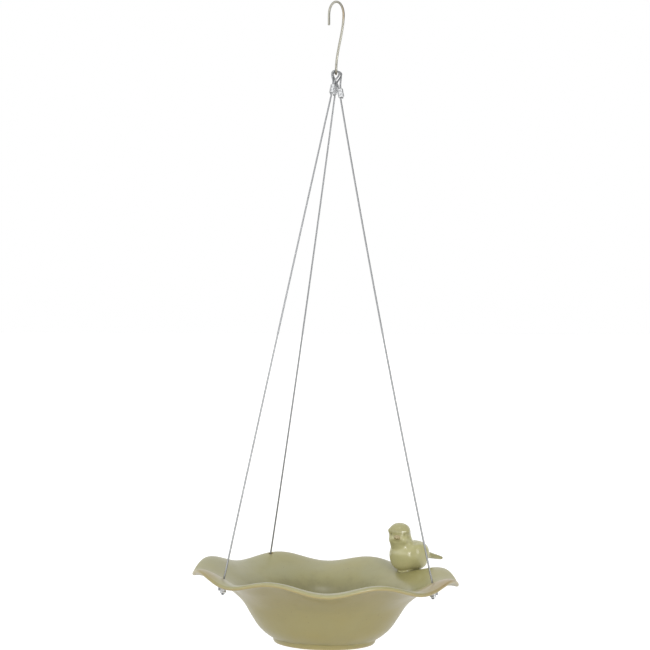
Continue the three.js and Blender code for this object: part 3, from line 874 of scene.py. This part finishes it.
def bowl_points(bowl, lift):
    """The turned bowl with the rim's waves added to its height, hung in place and lifted."""
    points, quads, fans = turn_profile(bowl_profile(bowl), BOWL_COLUMNS)
    points[:, 2] += rim_wave(bowl, *polar(points)) - BOWL_DROP + lift
    return hang(points), quads, fans


def hole_peg(bowl, hole):
    """A peg for a wire's hole: a turned profile, narrowest in the wall, that flares a little both ways."""
    height = np.linspace(*PEG_ENDS, PEG_ROWS)
    flare = PEG_FLARE * smooth_step(height, *PEG_TOP) + PEG_FLARE * smooth_step(-height, *PEG_UNDER)
    radius = 500.0 * bowl.hole + flare
    profile = np.vstack([[0.0, height[0]], np.column_stack([radius, height])])
    points, quads, fans = turn_profile(profile, PEG_COLUMNS)
    return add_object("hole_peg", make_mesh("hole_peg", hang(points + hole), quads, fans))


def bowl_masks(bowl, mesh):
    """Where the glaze pools, thins, browns or blushes and the clay is bare, by place in the profile; the
    pools hold painted shade on the basin floor and a darker band low on the outside, and the browner outside
    holds painted shade under the lip.
    """
    points = unhang(read_points(mesh)) + (0.0, 0.0, BOWL_DROP)
    radius, angle = polar(points)
    height = points[:, 2] - rim_wave(bowl, radius, angle)
    line, slope, across, _, _ = bowl_wall(bowl)
    from_lip = np.column_stack([radius, height]) - line[-1]
    inside = smooth_step(height - np.interp(radius, line[:, 0], line[:, 1]), -0.5, 0.5)
    outside = 1.0 - inside
    wander = 0.5 * np.sin(3.0 * angle + 1.0) + 0.35 * np.sin(7.0 * angle + 2.2) + 0.25 * np.sin(13.0 * angle)
    thin = smooth_step(from_lip @ slope[-1] + 0.35 * wander, -2.6, 1.6)
    thin = thin * (1.0 - 0.8 * smooth_step(from_lip @ across[-1], -0.6, 0.9))
    for wire in WIRES.values():
        hole = on_rim(bowl, wire.inset, wire.angle)
        away = np.hypot(points[:, 0] - hole[0], points[:, 1] - hole[1]) - 500.0 * bowl.hole
        thin = np.maximum(thin, 0.75 * (1.0 - smooth_step(away, 0.1, 1.5)))
    foot = 1000.0 * bowl.foot_radius
    on_foot = outside * (1.0 - smooth_step(height, 1.2, 2.6)) * smooth_step(radius, foot - 10.0, foot - 8.0)
    bare = outside * (1.0 - smooth_step(height, 0.25, 0.6)) * smooth_step(radius, foot - 9.0, foot - 7.5)
    # Darker on the basin floor, partly pooled glaze and partly painted shade, and in a band low on the
    # outside.
    pool = inside * (1.0 - smooth_step(radius, 75.0, 104.0))
    pool += 0.2 * outside * (1.0 - smooth_step(np.abs(height - 6.0), 0.5, 5.0))
    blush = 0.0
    for middle, spread, strength in BLUSH:
        off = (np.degrees(angle) - middle + 180.0) % 360.0 - 180.0
        blush = blush + strength * np.exp(-(off / spread) ** 2)
    # The outer mask grows towards the lip: painted shade under the rim on top of the outer glaze.
    write_masks(
        mesh, blush=blush * inside * smooth_step(radius, 104.0, 126.0),
        outer=outside * (0.7 + 0.3 * smooth_step(radius, 70.0, 110.0)), thin=np.maximum(thin, 0.8 * on_foot),
        bare=bare, pool=pool)


# Bird


def oval(points, centre, half, pitch=0.0, power=2.0):
    """Signed closeness to an oval whose nose is raised by a pitch: about nought on it, negative inside."""
    lean = math.radians(pitch)
    x, y, z = (points - centre).T
    along, up = x * math.cos(lean) + z * math.sin(lean), z * math.cos(lean) - x * math.sin(lean)
    level = np.sqrt((along / half[0]) ** 2 + (y / half[1]) ** 2)
    size = (level ** power + np.abs(up / half[2]) ** power) ** (1.0 / power)
    return (size - 1.0) * min(half)


def soft_join(first, second, width):
    """The lower of two closenesses, with the corner between them rounded over a width."""
    share = np.clip(0.5 + 0.5 * (second - first) / width, 0.0, 1.0)
    return second + (first - second) * share - width * share * (1.0 - share)


def tail_size(left):
    """Half width and half thickness of the tail: by the root of the way left, swelling at its start."""
    sizes = zip(*TAIL[2:])
    return [end + (mid - end) * np.sqrt(left) + (start - mid) * left ** 5 for start, mid, end in sizes]


def tail_closeness(points):
    """Closeness to the tail: an oval rod from root to tip with a rounded end."""
    root, tip, blunt = TAIL[0], TAIL[1], TAIL[4][1]
    line = np.subtract(tip, root)
    length = np.linalg.norm(line)
    along = line / length
    up = np.cross(along, ALONG_Y)
    away = points - root
    run = np.clip(away @ along, 0.0, length - blunt)
    width, depth = tail_size(1.0 - run / length)
    spare = (away @ along - run) / blunt
    size = np.sqrt((away[:, 1] / width) ** 2 + ((away @ up) / depth) ** 2 + spare ** 2)
    return (size - 1.0) * depth


def stem_closeness(points, rise):
    """Closeness to the leaning stem: a round rod that flares towards the rim, rise above it."""
    shift, tilt, radius = STEM
    lean = math.radians(tilt)
    x, y, z = (points - (shift, 0.0, -shift * math.tan(lean))).T
    along, side = z * math.cos(lean) + x * math.sin(lean), x * math.cos(lean) - z * math.sin(lean)
    flare = STEM_FLARE * np.exp(-np.maximum(rise, -0.5) / STEM_FADE)
    low, high = STEM_ENDS
    return np.maximum(np.hypot(side, y) - radius - flare, np.maximum(along - high, low - along))


def head_frame(points, turn):
    """Points seen from the middle of the turned head: forward, left and up."""
    return about_upright(points - HEAD[0], -turn)


def beak_closeness(face):
    """Closeness to the beak: an oval that narrows and thins towards its tip."""
    centre, (long, wide, deep) = BEAK
    x, y, z = (face - centre).T
    forward = np.clip(x / long, -1.0, 1.0)
    narrow = 1.0 - 0.28 * forward
    aside, up = y / (wide * narrow), (z + 0.5 * forward) / (deep * narrow)
    return (np.sqrt((x / long) ** 2 + aside ** 2 + up ** 2) - 1.0) * deep


def round_head(angle, reach, up):
    """A place on the head at an angle from the beak's direction."""
    return (reach * math.cos(math.radians(angle)), reach * math.sin(math.radians(angle)), up)


def bird_form(points, turn, rise):
    """Closeness to the whole bird: soft joins of all its forms, less the hollows of the eyes."""
    face = head_frame(points, turn)
    mirrored = points.copy()
    mirrored[:, 1] = np.abs(points[:, 1])
    skull = oval(points, *HEAD)
    for side in (-1.0, 1.0):
        for angle, reach, up, half, width in (BROW, CHEEK):
            skull = soft_join(skull, oval(face, round_head(side * angle, reach, up), half), width)
        socket = np.linalg.norm(face - round_head(side * EYE_ANGLE, EYE_REACH, EYE_UP), axis=1) - EYE_RADIUS
        skull = -soft_join(-skull, socket, EYE_SOFT)
    form = oval(points, *BODY)
    for part, width in (
        (oval(points, *BREAST), 2.5), (oval(points, *BELLY), 2.5), (oval(points, *BACK), 2.5),
        (tail_closeness(points), 3.0), (oval(mirrored, *WING), 0.9), (stem_closeness(points, rise), 2.2),
        (oval(points, *NECK), 4.2), (skull, 2.6), (beak_closeness(face), 0.7),
    ):
        form = soft_join(form, part, width)
    return form


def blob(centre, half):
    """A closed oval grid: longitude by latitude, its poles closed."""
    turn = np.linspace(-math.pi / 2.0, math.pi / 2.0, BLOB_ROWS)[1:-1, None]
    return capped(rings_about(np.cos(turn), np.sin(turn), BLOB_COLUMNS) * half + centre)


def bird_blank(turn):
    """Rough closed ovals, about as the finished bird, that the fine surface is drawn from."""
    ovals = [form[:2] for form in (BODY, BREAST, BELLY, BACK, NECK, HEAD)]
    ovals.append((HEAD[0] + about_upright(BEAK[0], turn), BLANK_BEAK))
    root, tip = np.array(TAIL[0]), np.array(TAIL[1])
    for share in np.linspace(0.1, 0.94, 24):
        ovals.append((root + (tip - root) * share, (BLANK_TAIL, *tail_size(1.0 - share))))
    for height in np.linspace(-1.5, 12.0, 8):
        ovals.append(((STEM[0] + height * BLANK_SLOPE, 0.0, height + 1.2), BLANK_STEM))
    for side in (-1.0, 1.0):
        ovals.append((np.array(WING[0]) * (1.0, side, 1.0), WING[1]))
    points, quads, fans = (np.array(part) for part in zip(*(blob(*form) for form in ovals)))
    first = np.arange(len(ovals))[:, None, None] * points.shape[1]
    return points.reshape(-1, 3), (quads + first).reshape(-1, 4), (fans + first).reshape(-1, 3)


def bird_place(bowl, bird):
    """The bird's own frame on the rim: its seat and its turn."""
    cos, sin = math.cos(bird.heading), math.sin(bird.heading)
    turn = np.array([(cos, -sin, 0.0), (sin, cos, 0.0), (0.0, 0.0, 1.0)])
    return on_rim(bowl, BIRD_INSET, BIRD_ANGLE), turn


def rise_above_rim(bowl, points, seat, turn):
    """How high points of the bird's frame stand above the rim's top side."""
    placed = points @ turn.T + seat
    radius, angle = polar(placed)
    return placed[:, 2] + BOWL_DROP - wall_height(bowl, np.minimum(radius, RIM_END), angle, 1)


def draw_to_form(points, closeness, passes):
    """Points moved onto the surface where the closeness is nought, by steps of it over its own steepness."""
    nudge, least_square, longest = 0.02, 0.04, 0.8
    for _ in range(passes):
        value = closeness(points)
        steep = np.column_stack([
            (closeness(points + nudge * axis) - closeness(points - nudge * axis)) / (2.0 * nudge)
            for axis in np.eye(3)
        ])
        square = np.maximum(np.einsum("ij,ij->i", steep, steep), least_square)
        move = steep * (value / square)[:, None]
        size = np.linalg.norm(move, axis=1, keepdims=True)
        points = points - move * np.minimum(1.0, longest / np.maximum(size, 1e-9))
    return points


def bird_masks(bowl, bird, mesh):
    """Where the bird's glaze pools in creases and thins on edges, and where its beak is; also painted shadow
    under the beak, painted shade on the crown and at the seat, and painted light low on the body.
    """
    seat, turn = bird_place(bowl, bird)
    points = (unhang(read_points(mesh)) - seat) @ turn
    hollow = hollow_of(mesh, CREASE_PASSES)
    face = head_frame(points, bird.head_turn)
    beak = 1.0 - smooth_step(beak_closeness(face), 0.15, 0.7)
    eye = np.zeros(len(points))
    for side in (-1.0, 1.0):
        away = np.linalg.norm(face - round_head(side * EYE_ANGLE, EYE_MIDDLE, EYE_UP), axis=1)
        eye = np.maximum(eye, 1.0 - smooth_step(away, 1.2, 2.0))
    # Painted shadow under the beak.
    throat_shadow = 1.0 - smooth_step(oval(face, (10.4, 0.0, -7.2), (2.6, 3.8, 1.2)), 0.0, 1.6)
    tail = smooth_step(-points[:, 0], 30.0, 38.0)
    # Painted shade on the crown, which the light from above leaves too bright.
    crown = smooth_step(points[:, 2], 35.0, 44.0)
    # Painted light: the lower body made paler, standing in for light from below.
    low = 1.0 - smooth_step(points[:, 2], 5.0, 22.0)
    # Darker where the bird meets the rim: pooled glaze and painted shade.
    ring = 1.0 - smooth_step(rise_above_rim(bowl, points, seat, turn), 0.5, 1.6)
    pool = smooth_step(hollow, 0.004, 0.05) + 0.1 * eye + 0.45 * throat_shadow * (1.0 - beak)
    # Thin glaze on edges, and painted light on the lower body.
    thin = 0.3 * smooth_step(-hollow, 0.012, 0.05) * (1.0 - eye) + 0.8 * low * (1.0 - tail)
    write_masks(mesh, pool=pool + 0.38 * crown + 0.55 * tail + 0.4 * ring, thin=thin, beak=beak)


# Wires, sleeves and hook


def wire_frame(bowl, wires, wire):
    """A wire's seat on the hook, its hole, the way down to it, its loop's width and half its strands' gap."""
    seat = np.array([wire.shift, wire.seat, HOOK_BEND - math.sqrt(HOOK_BEND ** 2 - wire.seat ** 2)])
    hole = on_rim(bowl, wire.inset, wire.angle)
    strand = (1000.0 * wires.thickness + FIT_GAP) / 2.0
    down = unit(hole - seat)
    across = -wire.hand * unit(np.cross(ALONG_Y, down))
    start = seat + strand * turned_about(across, down, math.radians(wire.turn))
    down = unit(hole - start)
    across = -wire.hand * unit(np.cross(ALONG_Y, down))
    return seat, hole, down, across, strand


def loop_points(place, wire, depth, side):
    """Points of one strand below the loop's top: the loop narrows to the strands' gap as it turns."""
    seat, _, down, across, strand = place
    share = smooth_step(depth, 0.0, wire.loop - 1.0)
    width = wire.half + (strand - wire.half) * share
    aside = turned_about(across[None, :], down[None, :], math.radians(wire.turn) * share)
    return seat + down * depth[:, None] + aside * (side * width)[:, None]


def wire_route(bowl, wires, hook, wire):
    """The wire's points from its short end up round the hook, down to its hole, round the stop and out."""
    place = wire_frame(bowl, wires, wire)
    seat, hole, down, across, strand = place
    thick = 1000.0 * wires.thickness
    sleeve, stop = 1000.0 * wires.sleeve_length, 1000.0 * wires.stop_length
    clear = 500.0 * hook.thickness + FIT_GAP + thick / 2.0
    rise = HOOK_BEND - math.sqrt((HOOK_BEND - clear) ** 2 - wire.seat ** 2) - seat[2]
    up = unit(np.array([-down[0], 0.0, -down[2]]))
    bend = np.linspace(math.pi, 0.0, 15)[:, None]
    crown = seat + across * wire.half * np.cos(bend) + up * rise * np.sin(bend)
    depth = np.concatenate([np.linspace(LOOP_TOP, wire.loop, 7), [wire.loop + sleeve]])
    short = loop_points(place, wire, np.append(depth, depth[-1] + TAIL_LENGTH)[::-1], -1.0)
    main = loop_points(place, wire, depth, 1.0)
    outside = unit(hole * (1.0, 1.0, 0.0))
    bow = outside * 4.0 * wire.bow * STRAND_SHARES * (1.0 - STRAND_SHARES)
    line = main[-1] + (hole - main[-1]) * STRAND_SHARES - bow
    half_turn = np.linspace(0.0, math.pi, 9)
    back = 2.0 * strand
    beyond = strand + (thick + back) / 2.0 + FIT_GAP + 1000.0 * wires.sleeve_wall + FIT_GAP + thick / 2.0
    top = STOP_DEPTH - (FIT_GAP + thick / 2.0 + STOP_SLACK)
    out = np.concatenate([
        [0.0, 0.0], strand * (1.0 - np.cos(half_turn)), [back, back],
        back + (beyond - back) / 2.0 * (1.0 - np.cos(half_turn)), [beyond, beyond],
    ])
    drop = STOP_DEPTH + np.concatenate([
        [0.0, stop / 2.0], stop + STOP_SLACK + strand * np.sin(half_turn), [stop / 2.0, thick / 3.0],
        -top * np.sin(half_turn), [STOP_TAIL / 2.0, STOP_TAIL],
    ])
    under = on_rim(bowl, wire.inset, wire.angle, -1)
    knot = under + outside * out[:, None] - np.outer(drop, ALONG_Z)
    route = np.vstack([short, crown, main, line, hole[None, :], knot])
    return route, len(short) + len(crown) + len(main), np.cross(ALONG_Z, outside)


def strand_radius(run, thick, lay):
    """Outline of six round strands about a core, turning once in each lay, and how deep in a groove it is.

    Within thirty degrees of a strand's middle the radius is two thirds of the whole times the cosine plus
    the root of a ninth less four ninths of the sine squared; the grooves are filled to a part of their depth.
    """
    turn = full_turn(WIRE_COLUMNS)[None, :] - (2.0 * math.pi / lay) * run[:, None]
    off = (turn + math.pi / 6.0) % (math.pi / 3.0) - math.pi / 6.0
    share = (2.0 * np.cos(off) + np.sqrt(np.maximum(1.0 - 4.0 * np.sin(off) ** 2, 0.0))) / 3.0
    share = 1.0 - GROOVE_DEPTH * (1.0 - share)
    return thick / 2.0 * share, (1.0 - share) / GROOVE_FULL


def wire_mesh(bowl, wires, hook, name, wire):
    """The stranded outline carried along the wire's route, with slightly rounded cut ends."""
    route, line_start, rim_way = wire_route(bowl, wires, hook, wire)
    path, run = even_path(route, WIRE_STEP)
    first = run_along(route)[line_start]
    rim_way = rim_way * (1.0 if rim_way[1] > 0.0 else -1.0)
    share = smooth_step(run, first + GUIDE_TURN[0], first + GUIDE_TURN[1])[:, None]
    guide = unit(ALONG_Y * (1.0 - share) + rim_way * share)
    radius, groove = strand_radius(run, 1000.0 * wires.thickness, 1000.0 * wires.lay)
    end = np.minimum(run, run[-1] - run)
    radius *= (1.0 - WIRE_END_ROUND * (1.0 - np.clip(end / WIRE_END, 0.0, 1.0)) ** 2)[:, None]
    points, quads, fans = capped(carry(path, guide, radius))
    mesh = make_mesh(name, hang(points), quads, fans)
    write_masks(mesh, groove=np.append(groove.ravel(), (0.3, 0.3)))
    return mesh


def sleeve_mesh(name, wires, length, start, wide, down):
    """A pressed oval sleeve: a stadium outline carried along it and back inside.

    The outline is half the straight side, signed with the cosine, plus radius times cosine, by radius times
    sine. Two presses thin it and spread it, and its rims are rounded.
    """
    thick, wall = 1000.0 * wires.thickness, 1000.0 * wires.sleeve_wall
    turn = np.linspace(math.pi, 0.0, 9)[1:-1]
    nose = SLEEVE_EDGE * np.sin(turn)
    body = np.linspace(SLEEVE_EDGE, length - SLEEVE_EDGE, SLEEVE_ROWS)
    along = np.concatenate([body, length - SLEEVE_EDGE + nose, body[::-1], SLEEVE_EDGE - nose])
    swell = wall / 2.0 * (1.0 - np.cos(turn))[::-1]
    depth = np.concatenate([np.full(SLEEVE_ROWS, wall), wall - swell, np.zeros(SLEEVE_ROWS), swell])
    press = sum(np.exp(-((along - share * length) / PRESS_WIDTH) ** 2) for share in PRESS_SHARES)
    outer = depth / wall
    pressed = (press * outer)[:, None]
    angle = (np.arange(SLEEVE_COLUMNS) + 0.5) * (2.0 * math.pi / SLEEVE_COLUMNS)
    radius = thick / 2.0 + FIT_GAP + depth[:, None]
    width = np.sign(np.cos(angle)) * (thick + FIT_GAP) / 2.0 + radius * np.cos(angle)
    width = width * (1.0 + PRESS_SPREAD * pressed)
    height = radius * np.sin(angle) * (1.0 - PRESS_DEPTH * pressed)
    third = np.cross(down, wide)
    points = start + wide * width[..., None] + third * height[..., None] + down * along[:, None, None]
    mesh = make_mesh(name, hang(points.reshape(-1, 3)), grid_quads(len(along), SLEEVE_COLUMNS, True))
    rim = smooth_step(outer, 0.05, 0.5) * (1.0 - smooth_step(outer, 0.9, 1.0))
    flat = np.abs(np.sin(angle))
    rubbed = 0.5 * rim[:, None] + 0.175 * (outer * (1.0 - press))[:, None] * flat ** 6
    write_masks(mesh, crimp=pressed * flat ** 2, rubbed=rubbed)
    return mesh


def hook_route(hook):
    """The hook's points: an upright half oval, an easing shank, a lower half circle a quarter turn round."""
    half, rise = 500.0 * hook.crook_width, 1000.0 * hook.crook_rise
    bend = 1000.0 * hook.bend_radius
    middle = 500.0 * hook.thickness - rise
    low = bend - HOOK_DROP
    turn = np.linspace(math.pi, 0.0, 13)
    tip = [(-half, 0.0, middle - HOOK_TIP), (-half, 0.0, middle - HOOK_TIP / 2.0)]
    crook = np.column_stack([half * np.cos(turn), 0.0 * turn, middle + rise * np.sin(turn)])
    share = np.array([0.16, 0.38, 0.6, 0.82])
    ease = smooth_step(share, 0.0, 1.0)
    shank = np.column_stack([half * (1.0 - ease), bend * ease, middle + (low - middle) * share])
    turn = np.linspace(0.0, math.pi, 11)
    lower = np.column_stack([0.0 * turn, bend * np.cos(turn), low - bend * np.sin(turn)])
    return np.vstack([tip, crook, shank, lower, [(0.0, -bend, low + HOOK_END)]])


def hook_mesh(hook):
    """A round wire along the hook's route, its cut ends domed by the root of one less the share squared."""
    path, run = even_path(hook_route(hook), HOOK_STEP)
    lower = smooth_step(-path[:, 2], *HOOK_TURN)[:, None]
    guide = unit(ALONG_Y * (1.0 - lower) + ALONG_X * lower)
    end = np.clip(np.minimum(run, run[-1] - run) / HOOK_DOME, 0.0, 1.0)
    dome = HOOK_FACE + (1.0 - HOOK_FACE) * np.sqrt(1.0 - (1.0 - end) ** 2)
    radius = 500.0 * hook.thickness * dome[:, None] * np.ones((1, HOOK_COLUMNS))
    points, quads, fans = capped(carry(path, guide, radius))
    mesh = make_mesh("hook", points * 0.001, quads, fans)
    right = 0.7 * smooth_step(points[:, 0], 3.0, 8.0) * smooth_step(points[:, 2], -34.0, -10.0)
    write_masks(mesh, worn=right + 0.5 * smooth_step(-points[:, 2], 71.0, 74.5))
    return mesh


# Stage


def floor_mesh(height):
    """A wide flat disc: rings of growing radius round the axis."""
    radius = np.concatenate([np.linspace(*FLOOR_NEAR), np.geomspace(*FLOOR_FAR)])[:, None]
    rings = rings_about(radius, height, FLOOR_COLUMNS)
    points = np.vstack([rings.reshape(-1, 3), [(0.0, 0.0, height)]])
    fan = cap_fan(np.arange(FLOOR_COLUMNS), len(points) - 1, False)
    quads = grid_quads(len(radius), FLOOR_COLUMNS)
    mesh = bpy.data.meshes.new("floor")
    mesh.from_pydata(points.tolist(), [], quads[:, ::-1].tolist() + fan.tolist())
    return mesh


def soft_surround(stage):
    """A soft surround: bright low in front to the left, pale behind and overhead, white where it is seen."""
    world = bpy.data.worlds.new("soft_surround")
    world.use_nodes = True
    world.node_tree.nodes.clear()
    tone = Tone(world.node_tree)
    aside, back, up = tone.axes(tone.node("ShaderNodeTexCoord", None, None, "Generated"))
    low = 0.4 + up.step(0.0, 0.2) * 0.6 - up.step(0.2, 0.6) * 0.65
    front = (aside * -0.62 + back * -0.78).step(0.0, 1.0) * low
    light = front * 2.08 + back.step(0.2, 0.9) * 0.55 + up.step(0.45, 0.85) * 0.4 + 0.45
    light = light - aside.step(0.3, 1.0) * 0.3
    dim = tone.node("ShaderNodeBackground", None, {"Color": light, "Strength": stage.soft_light})
    white = tone.node("ShaderNodeBackground", None, {"Color": WHITE, "Strength": 1.0})
    seen = tone.node("ShaderNodeLightPath", None, None, "Is Camera Ray")
    both = tone.node("ShaderNodeMixShader", None, {0: seen, 1: dim, 2: white})
    tone.node("ShaderNodeOutputWorld", None, {"Surface": both})
    bpy.context.scene.world = world


def soft_light(name, place, aim, size, power):
    """An oblong soft light that faces a point."""
    lamp = bpy.data.lights.new(name, "AREA")
    lamp.shape = "RECTANGLE"
    lamp.size, lamp.size_y = size
    lamp.energy = power
    turn = (Vector(aim) - Vector(place)).to_track_quat("-Z", "Y").to_matrix().to_4x4()
    add_object(name, lamp).matrix_world = Matrix.Translation(place) @ turn


def place_camera():
    """The camera level with the middle of the wires, far enough back to see the whole set."""
    camera = bpy.data.cameras.new("camera")
    camera.sensor_width = CAMERA_SENSOR
    camera.lens = CAMERA_LENS
    camera.clip_start = CAMERA_NEAR
    made = add_object("camera", camera)
    dip, sway, roll = (math.radians(angle) for angle in (CAMERA_DIP, CAMERA_SWAY, CAMERA_ROLL))
    tilt = Euler((math.pi / 2.0 - dip, sway, 0.0)).to_matrix().to_4x4()
    turn = tilt @ Matrix.Rotation(roll, 4, "Z")
    made.matrix_world = Matrix.Translation(CAMERA_PLACE) @ turn
    bpy.context.scene.camera = made


# Operators


class BIRDBATH_OT_stage(bpy.types.Operator):
    """Sets the camera, the soft light and the pale floor"""

    bl_idname = "bird_bath.stage"
    bl_label = "Stage"

    def execute(self, context):
        stage = context.scene.bird_bath.stage
        place_camera()
        soft_surround(stage)
        low = CAD_BOX[0][2]
        floor = add_object("floor", floor_mesh(low - stage.floor_gap))
        floor.data.materials.append(floor_paint(stage))
        for name, (place, size, share) in LAMPS.items():
            soft_light(name, place, (0.0, 0.0, low + AIM_HEIGHT), size, share * stage.front_light)
        context.scene.view_settings.view_transform = "Standard"
        return {"FINISHED"}


class BIRDBATH_OT_bowl(bpy.types.Operator):
    """Turns the wavy bowl, drills its holes and glazes it"""

    bl_idname = "bird_bath.bowl"
    bl_label = "Bowl"

    def execute(self, context):
        bowl = context.scene.bird_bath.bowl
        made = add_object("glazed_bowl", make_mesh("glazed_bowl", *bowl_points(bowl, 0.0)))
        cut_away(made, [hole_peg(bowl, on_rim(bowl, wire.inset, wire.angle)) for wire in WIRES.values()])
        bowl_masks(bowl, made.data)
        show(made, bowl_glaze(bowl), "basin", "bowl", "bowl")
        return {"FINISHED"}


class BIRDBATH_OT_bird(bpy.types.Operator):
    """Models the bird, cuts its stem to the rim and glazes it"""

    bl_idname = "bird_bath.bird"
    bl_label = "Bird"

    def execute(self, context):
        bowl, bird = context.scene.bird_bath.bowl, context.scene.bird_bath.bird
        seat, turn = bird_place(bowl, bird)
        made = add_object("glazed_bird", make_mesh("glazed_bird", *bird_blank(bird.head_turn)))
        skin = made.modifiers.new("skin", "REMESH")
        skin.mode = "VOXEL"
        skin.voxel_size = BIRD_VOXEL
        skin.adaptivity = 0.0
        applied(made)

        def closeness(points):
            return bird_form(points, bird.head_turn, rise_above_rim(bowl, points, seat, turn))

        points = draw_to_form(read_points(made.data), closeness, BIRD_PASSES)
        placed = hang(points @ turn.T + seat)
        made.data.vertices.foreach_set("co", placed.astype(np.float32).ravel())
        made.data.update()
        lifts = SEAT_GAP - 1000.0 * bowl.wall * SEAT_CUTS
        cutters = [make_mesh("rim_cutter", *bowl_points(bowl, lift)) for lift in lifts]
        cut_away(made, [add_object("rim_cutter", cutter) for cutter in cutters])
        bird_masks(bowl, bird, made.data)
        show(made, bird_glaze(bird), "basin", "bird", "bird")
        return {"FINISHED"}


class BIRDBATH_OT_wires(bpy.types.Operator):
    """Lays the three stranded wires"""

    bl_idname = "bird_bath.wires"
    bl_label = "Wires"

    def execute(self, context):
        bath = context.scene.bird_bath
        steel = wire_steel(bath.wires)
        for side, wire in WIRES.items():
            name = f"stranded_wire_{side}"
            made = add_object(name, wire_mesh(bath.bowl, bath.wires, bath.hook, name, wire))
            show(made, steel, None, "wire", f"wire_loop_{side}", f"wire_{side}")
            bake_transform(made)
        return {"FINISHED"}


class BIRDBATH_OT_sleeves(bpy.types.Operator):
    """Presses the six sleeves onto the wires"""

    bl_idname = "bird_bath.sleeves"
    bl_label = "Sleeves"

    def execute(self, context):
        bowl, wires = context.scene.bird_bath.bowl, context.scene.bird_bath.wires
        metal = sleeve_metal(wires)
        for side, wire in WIRES.items():
            seat, hole, down, across, strand = wire_frame(bowl, wires, wire)
            wide = turned_about(across, down, math.radians(wire.turn))
            outside = unit(hole * (1.0, 1.0, 0.0))
            stop = on_rim(bowl, wire.inset, wire.angle, -1) - STOP_DEPTH * ALONG_Z + outside * strand
            for piece, node, length, *place in (
                ("loop", "upper", wires.sleeve_length, seat + down * wire.loop, wide, down),
                ("stop", "lower", wires.stop_length, stop, outside, -ALONG_Z),
            ):
                name = f"{piece}_sleeve_{side}"
                made = add_object(name, sleeve_mesh(name, wires, 1000.0 * length, *place))
                show(made, metal, "harness", "sleeve", f"{node}_sleeve_{side}")
        return {"FINISHED"}


class BIRDBATH_OT_hook(bpy.types.Operator):
    """Bends the S-hook"""

    bl_idname = "bird_bath.hook"
    bl_label = "Hook"

    def execute(self, context):
        hook = context.scene.bird_bath.hook
        made = add_object("bent_hook", hook_mesh(hook))
        show(made, hook_plating(hook), "hook", "hook", "s_hook")
        return {"FINISHED"}


class VIEW3D_PT_bird_bath(bpy.types.Panel):
    """Builds the bird bath piece by piece"""

    bl_label = "Bird bath"
    bl_idname = "VIEW3D_PT_bird_bath"
    bl_space_type = "VIEW_3D"
    bl_region_type = "UI"
    bl_category = "Bird bath"

    def draw(self, context):
        bath = context.scene.bird_bath
        parts = (
            (bath.stage, BIRDBATH_OT_stage), (bath.hook, BIRDBATH_OT_hook),
            (bath.wires, BIRDBATH_OT_wires, BIRDBATH_OT_sleeves), (bath.bowl, BIRDBATH_OT_bowl),
            (bath.bird, BIRDBATH_OT_bird),
        )
        for settings, *operators in parts:
            box = self.layout.box()
            for operator in operators:
                box.operator(operator.bl_idname)
            for key in settings.__annotations__:
                box.prop(settings, key)


CLASSES = (
    BowlSettings, BirdSettings, WireSettings, HookSettings, StageSettings, BirdBathSettings,
    BIRDBATH_OT_stage, BIRDBATH_OT_bowl, BIRDBATH_OT_bird, BIRDBATH_OT_wires, BIRDBATH_OT_sleeves,
    BIRDBATH_OT_hook, VIEW3D_PT_bird_bath,
)


def register():
    for each in CLASSES:
        bpy.utils.register_class(each)
    bpy.types.Scene.bird_bath = PointerProperty(type=BirdBathSettings)


def unregister():
    del bpy.types.Scene.bird_bath
    for each in reversed(CLASSES):
        bpy.utils.unregister_class(each)


def main():
    register()
    bpy.ops.bird_bath.stage()
    bpy.ops.bird_bath.hook()
    bpy.ops.bird_bath.wires()
    bpy.ops.bird_bath.sleeves()
    bpy.ops.bird_bath.bowl()
    bpy.ops.bird_bath.bird()
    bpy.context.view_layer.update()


if __name__ == "__main__":
    main()
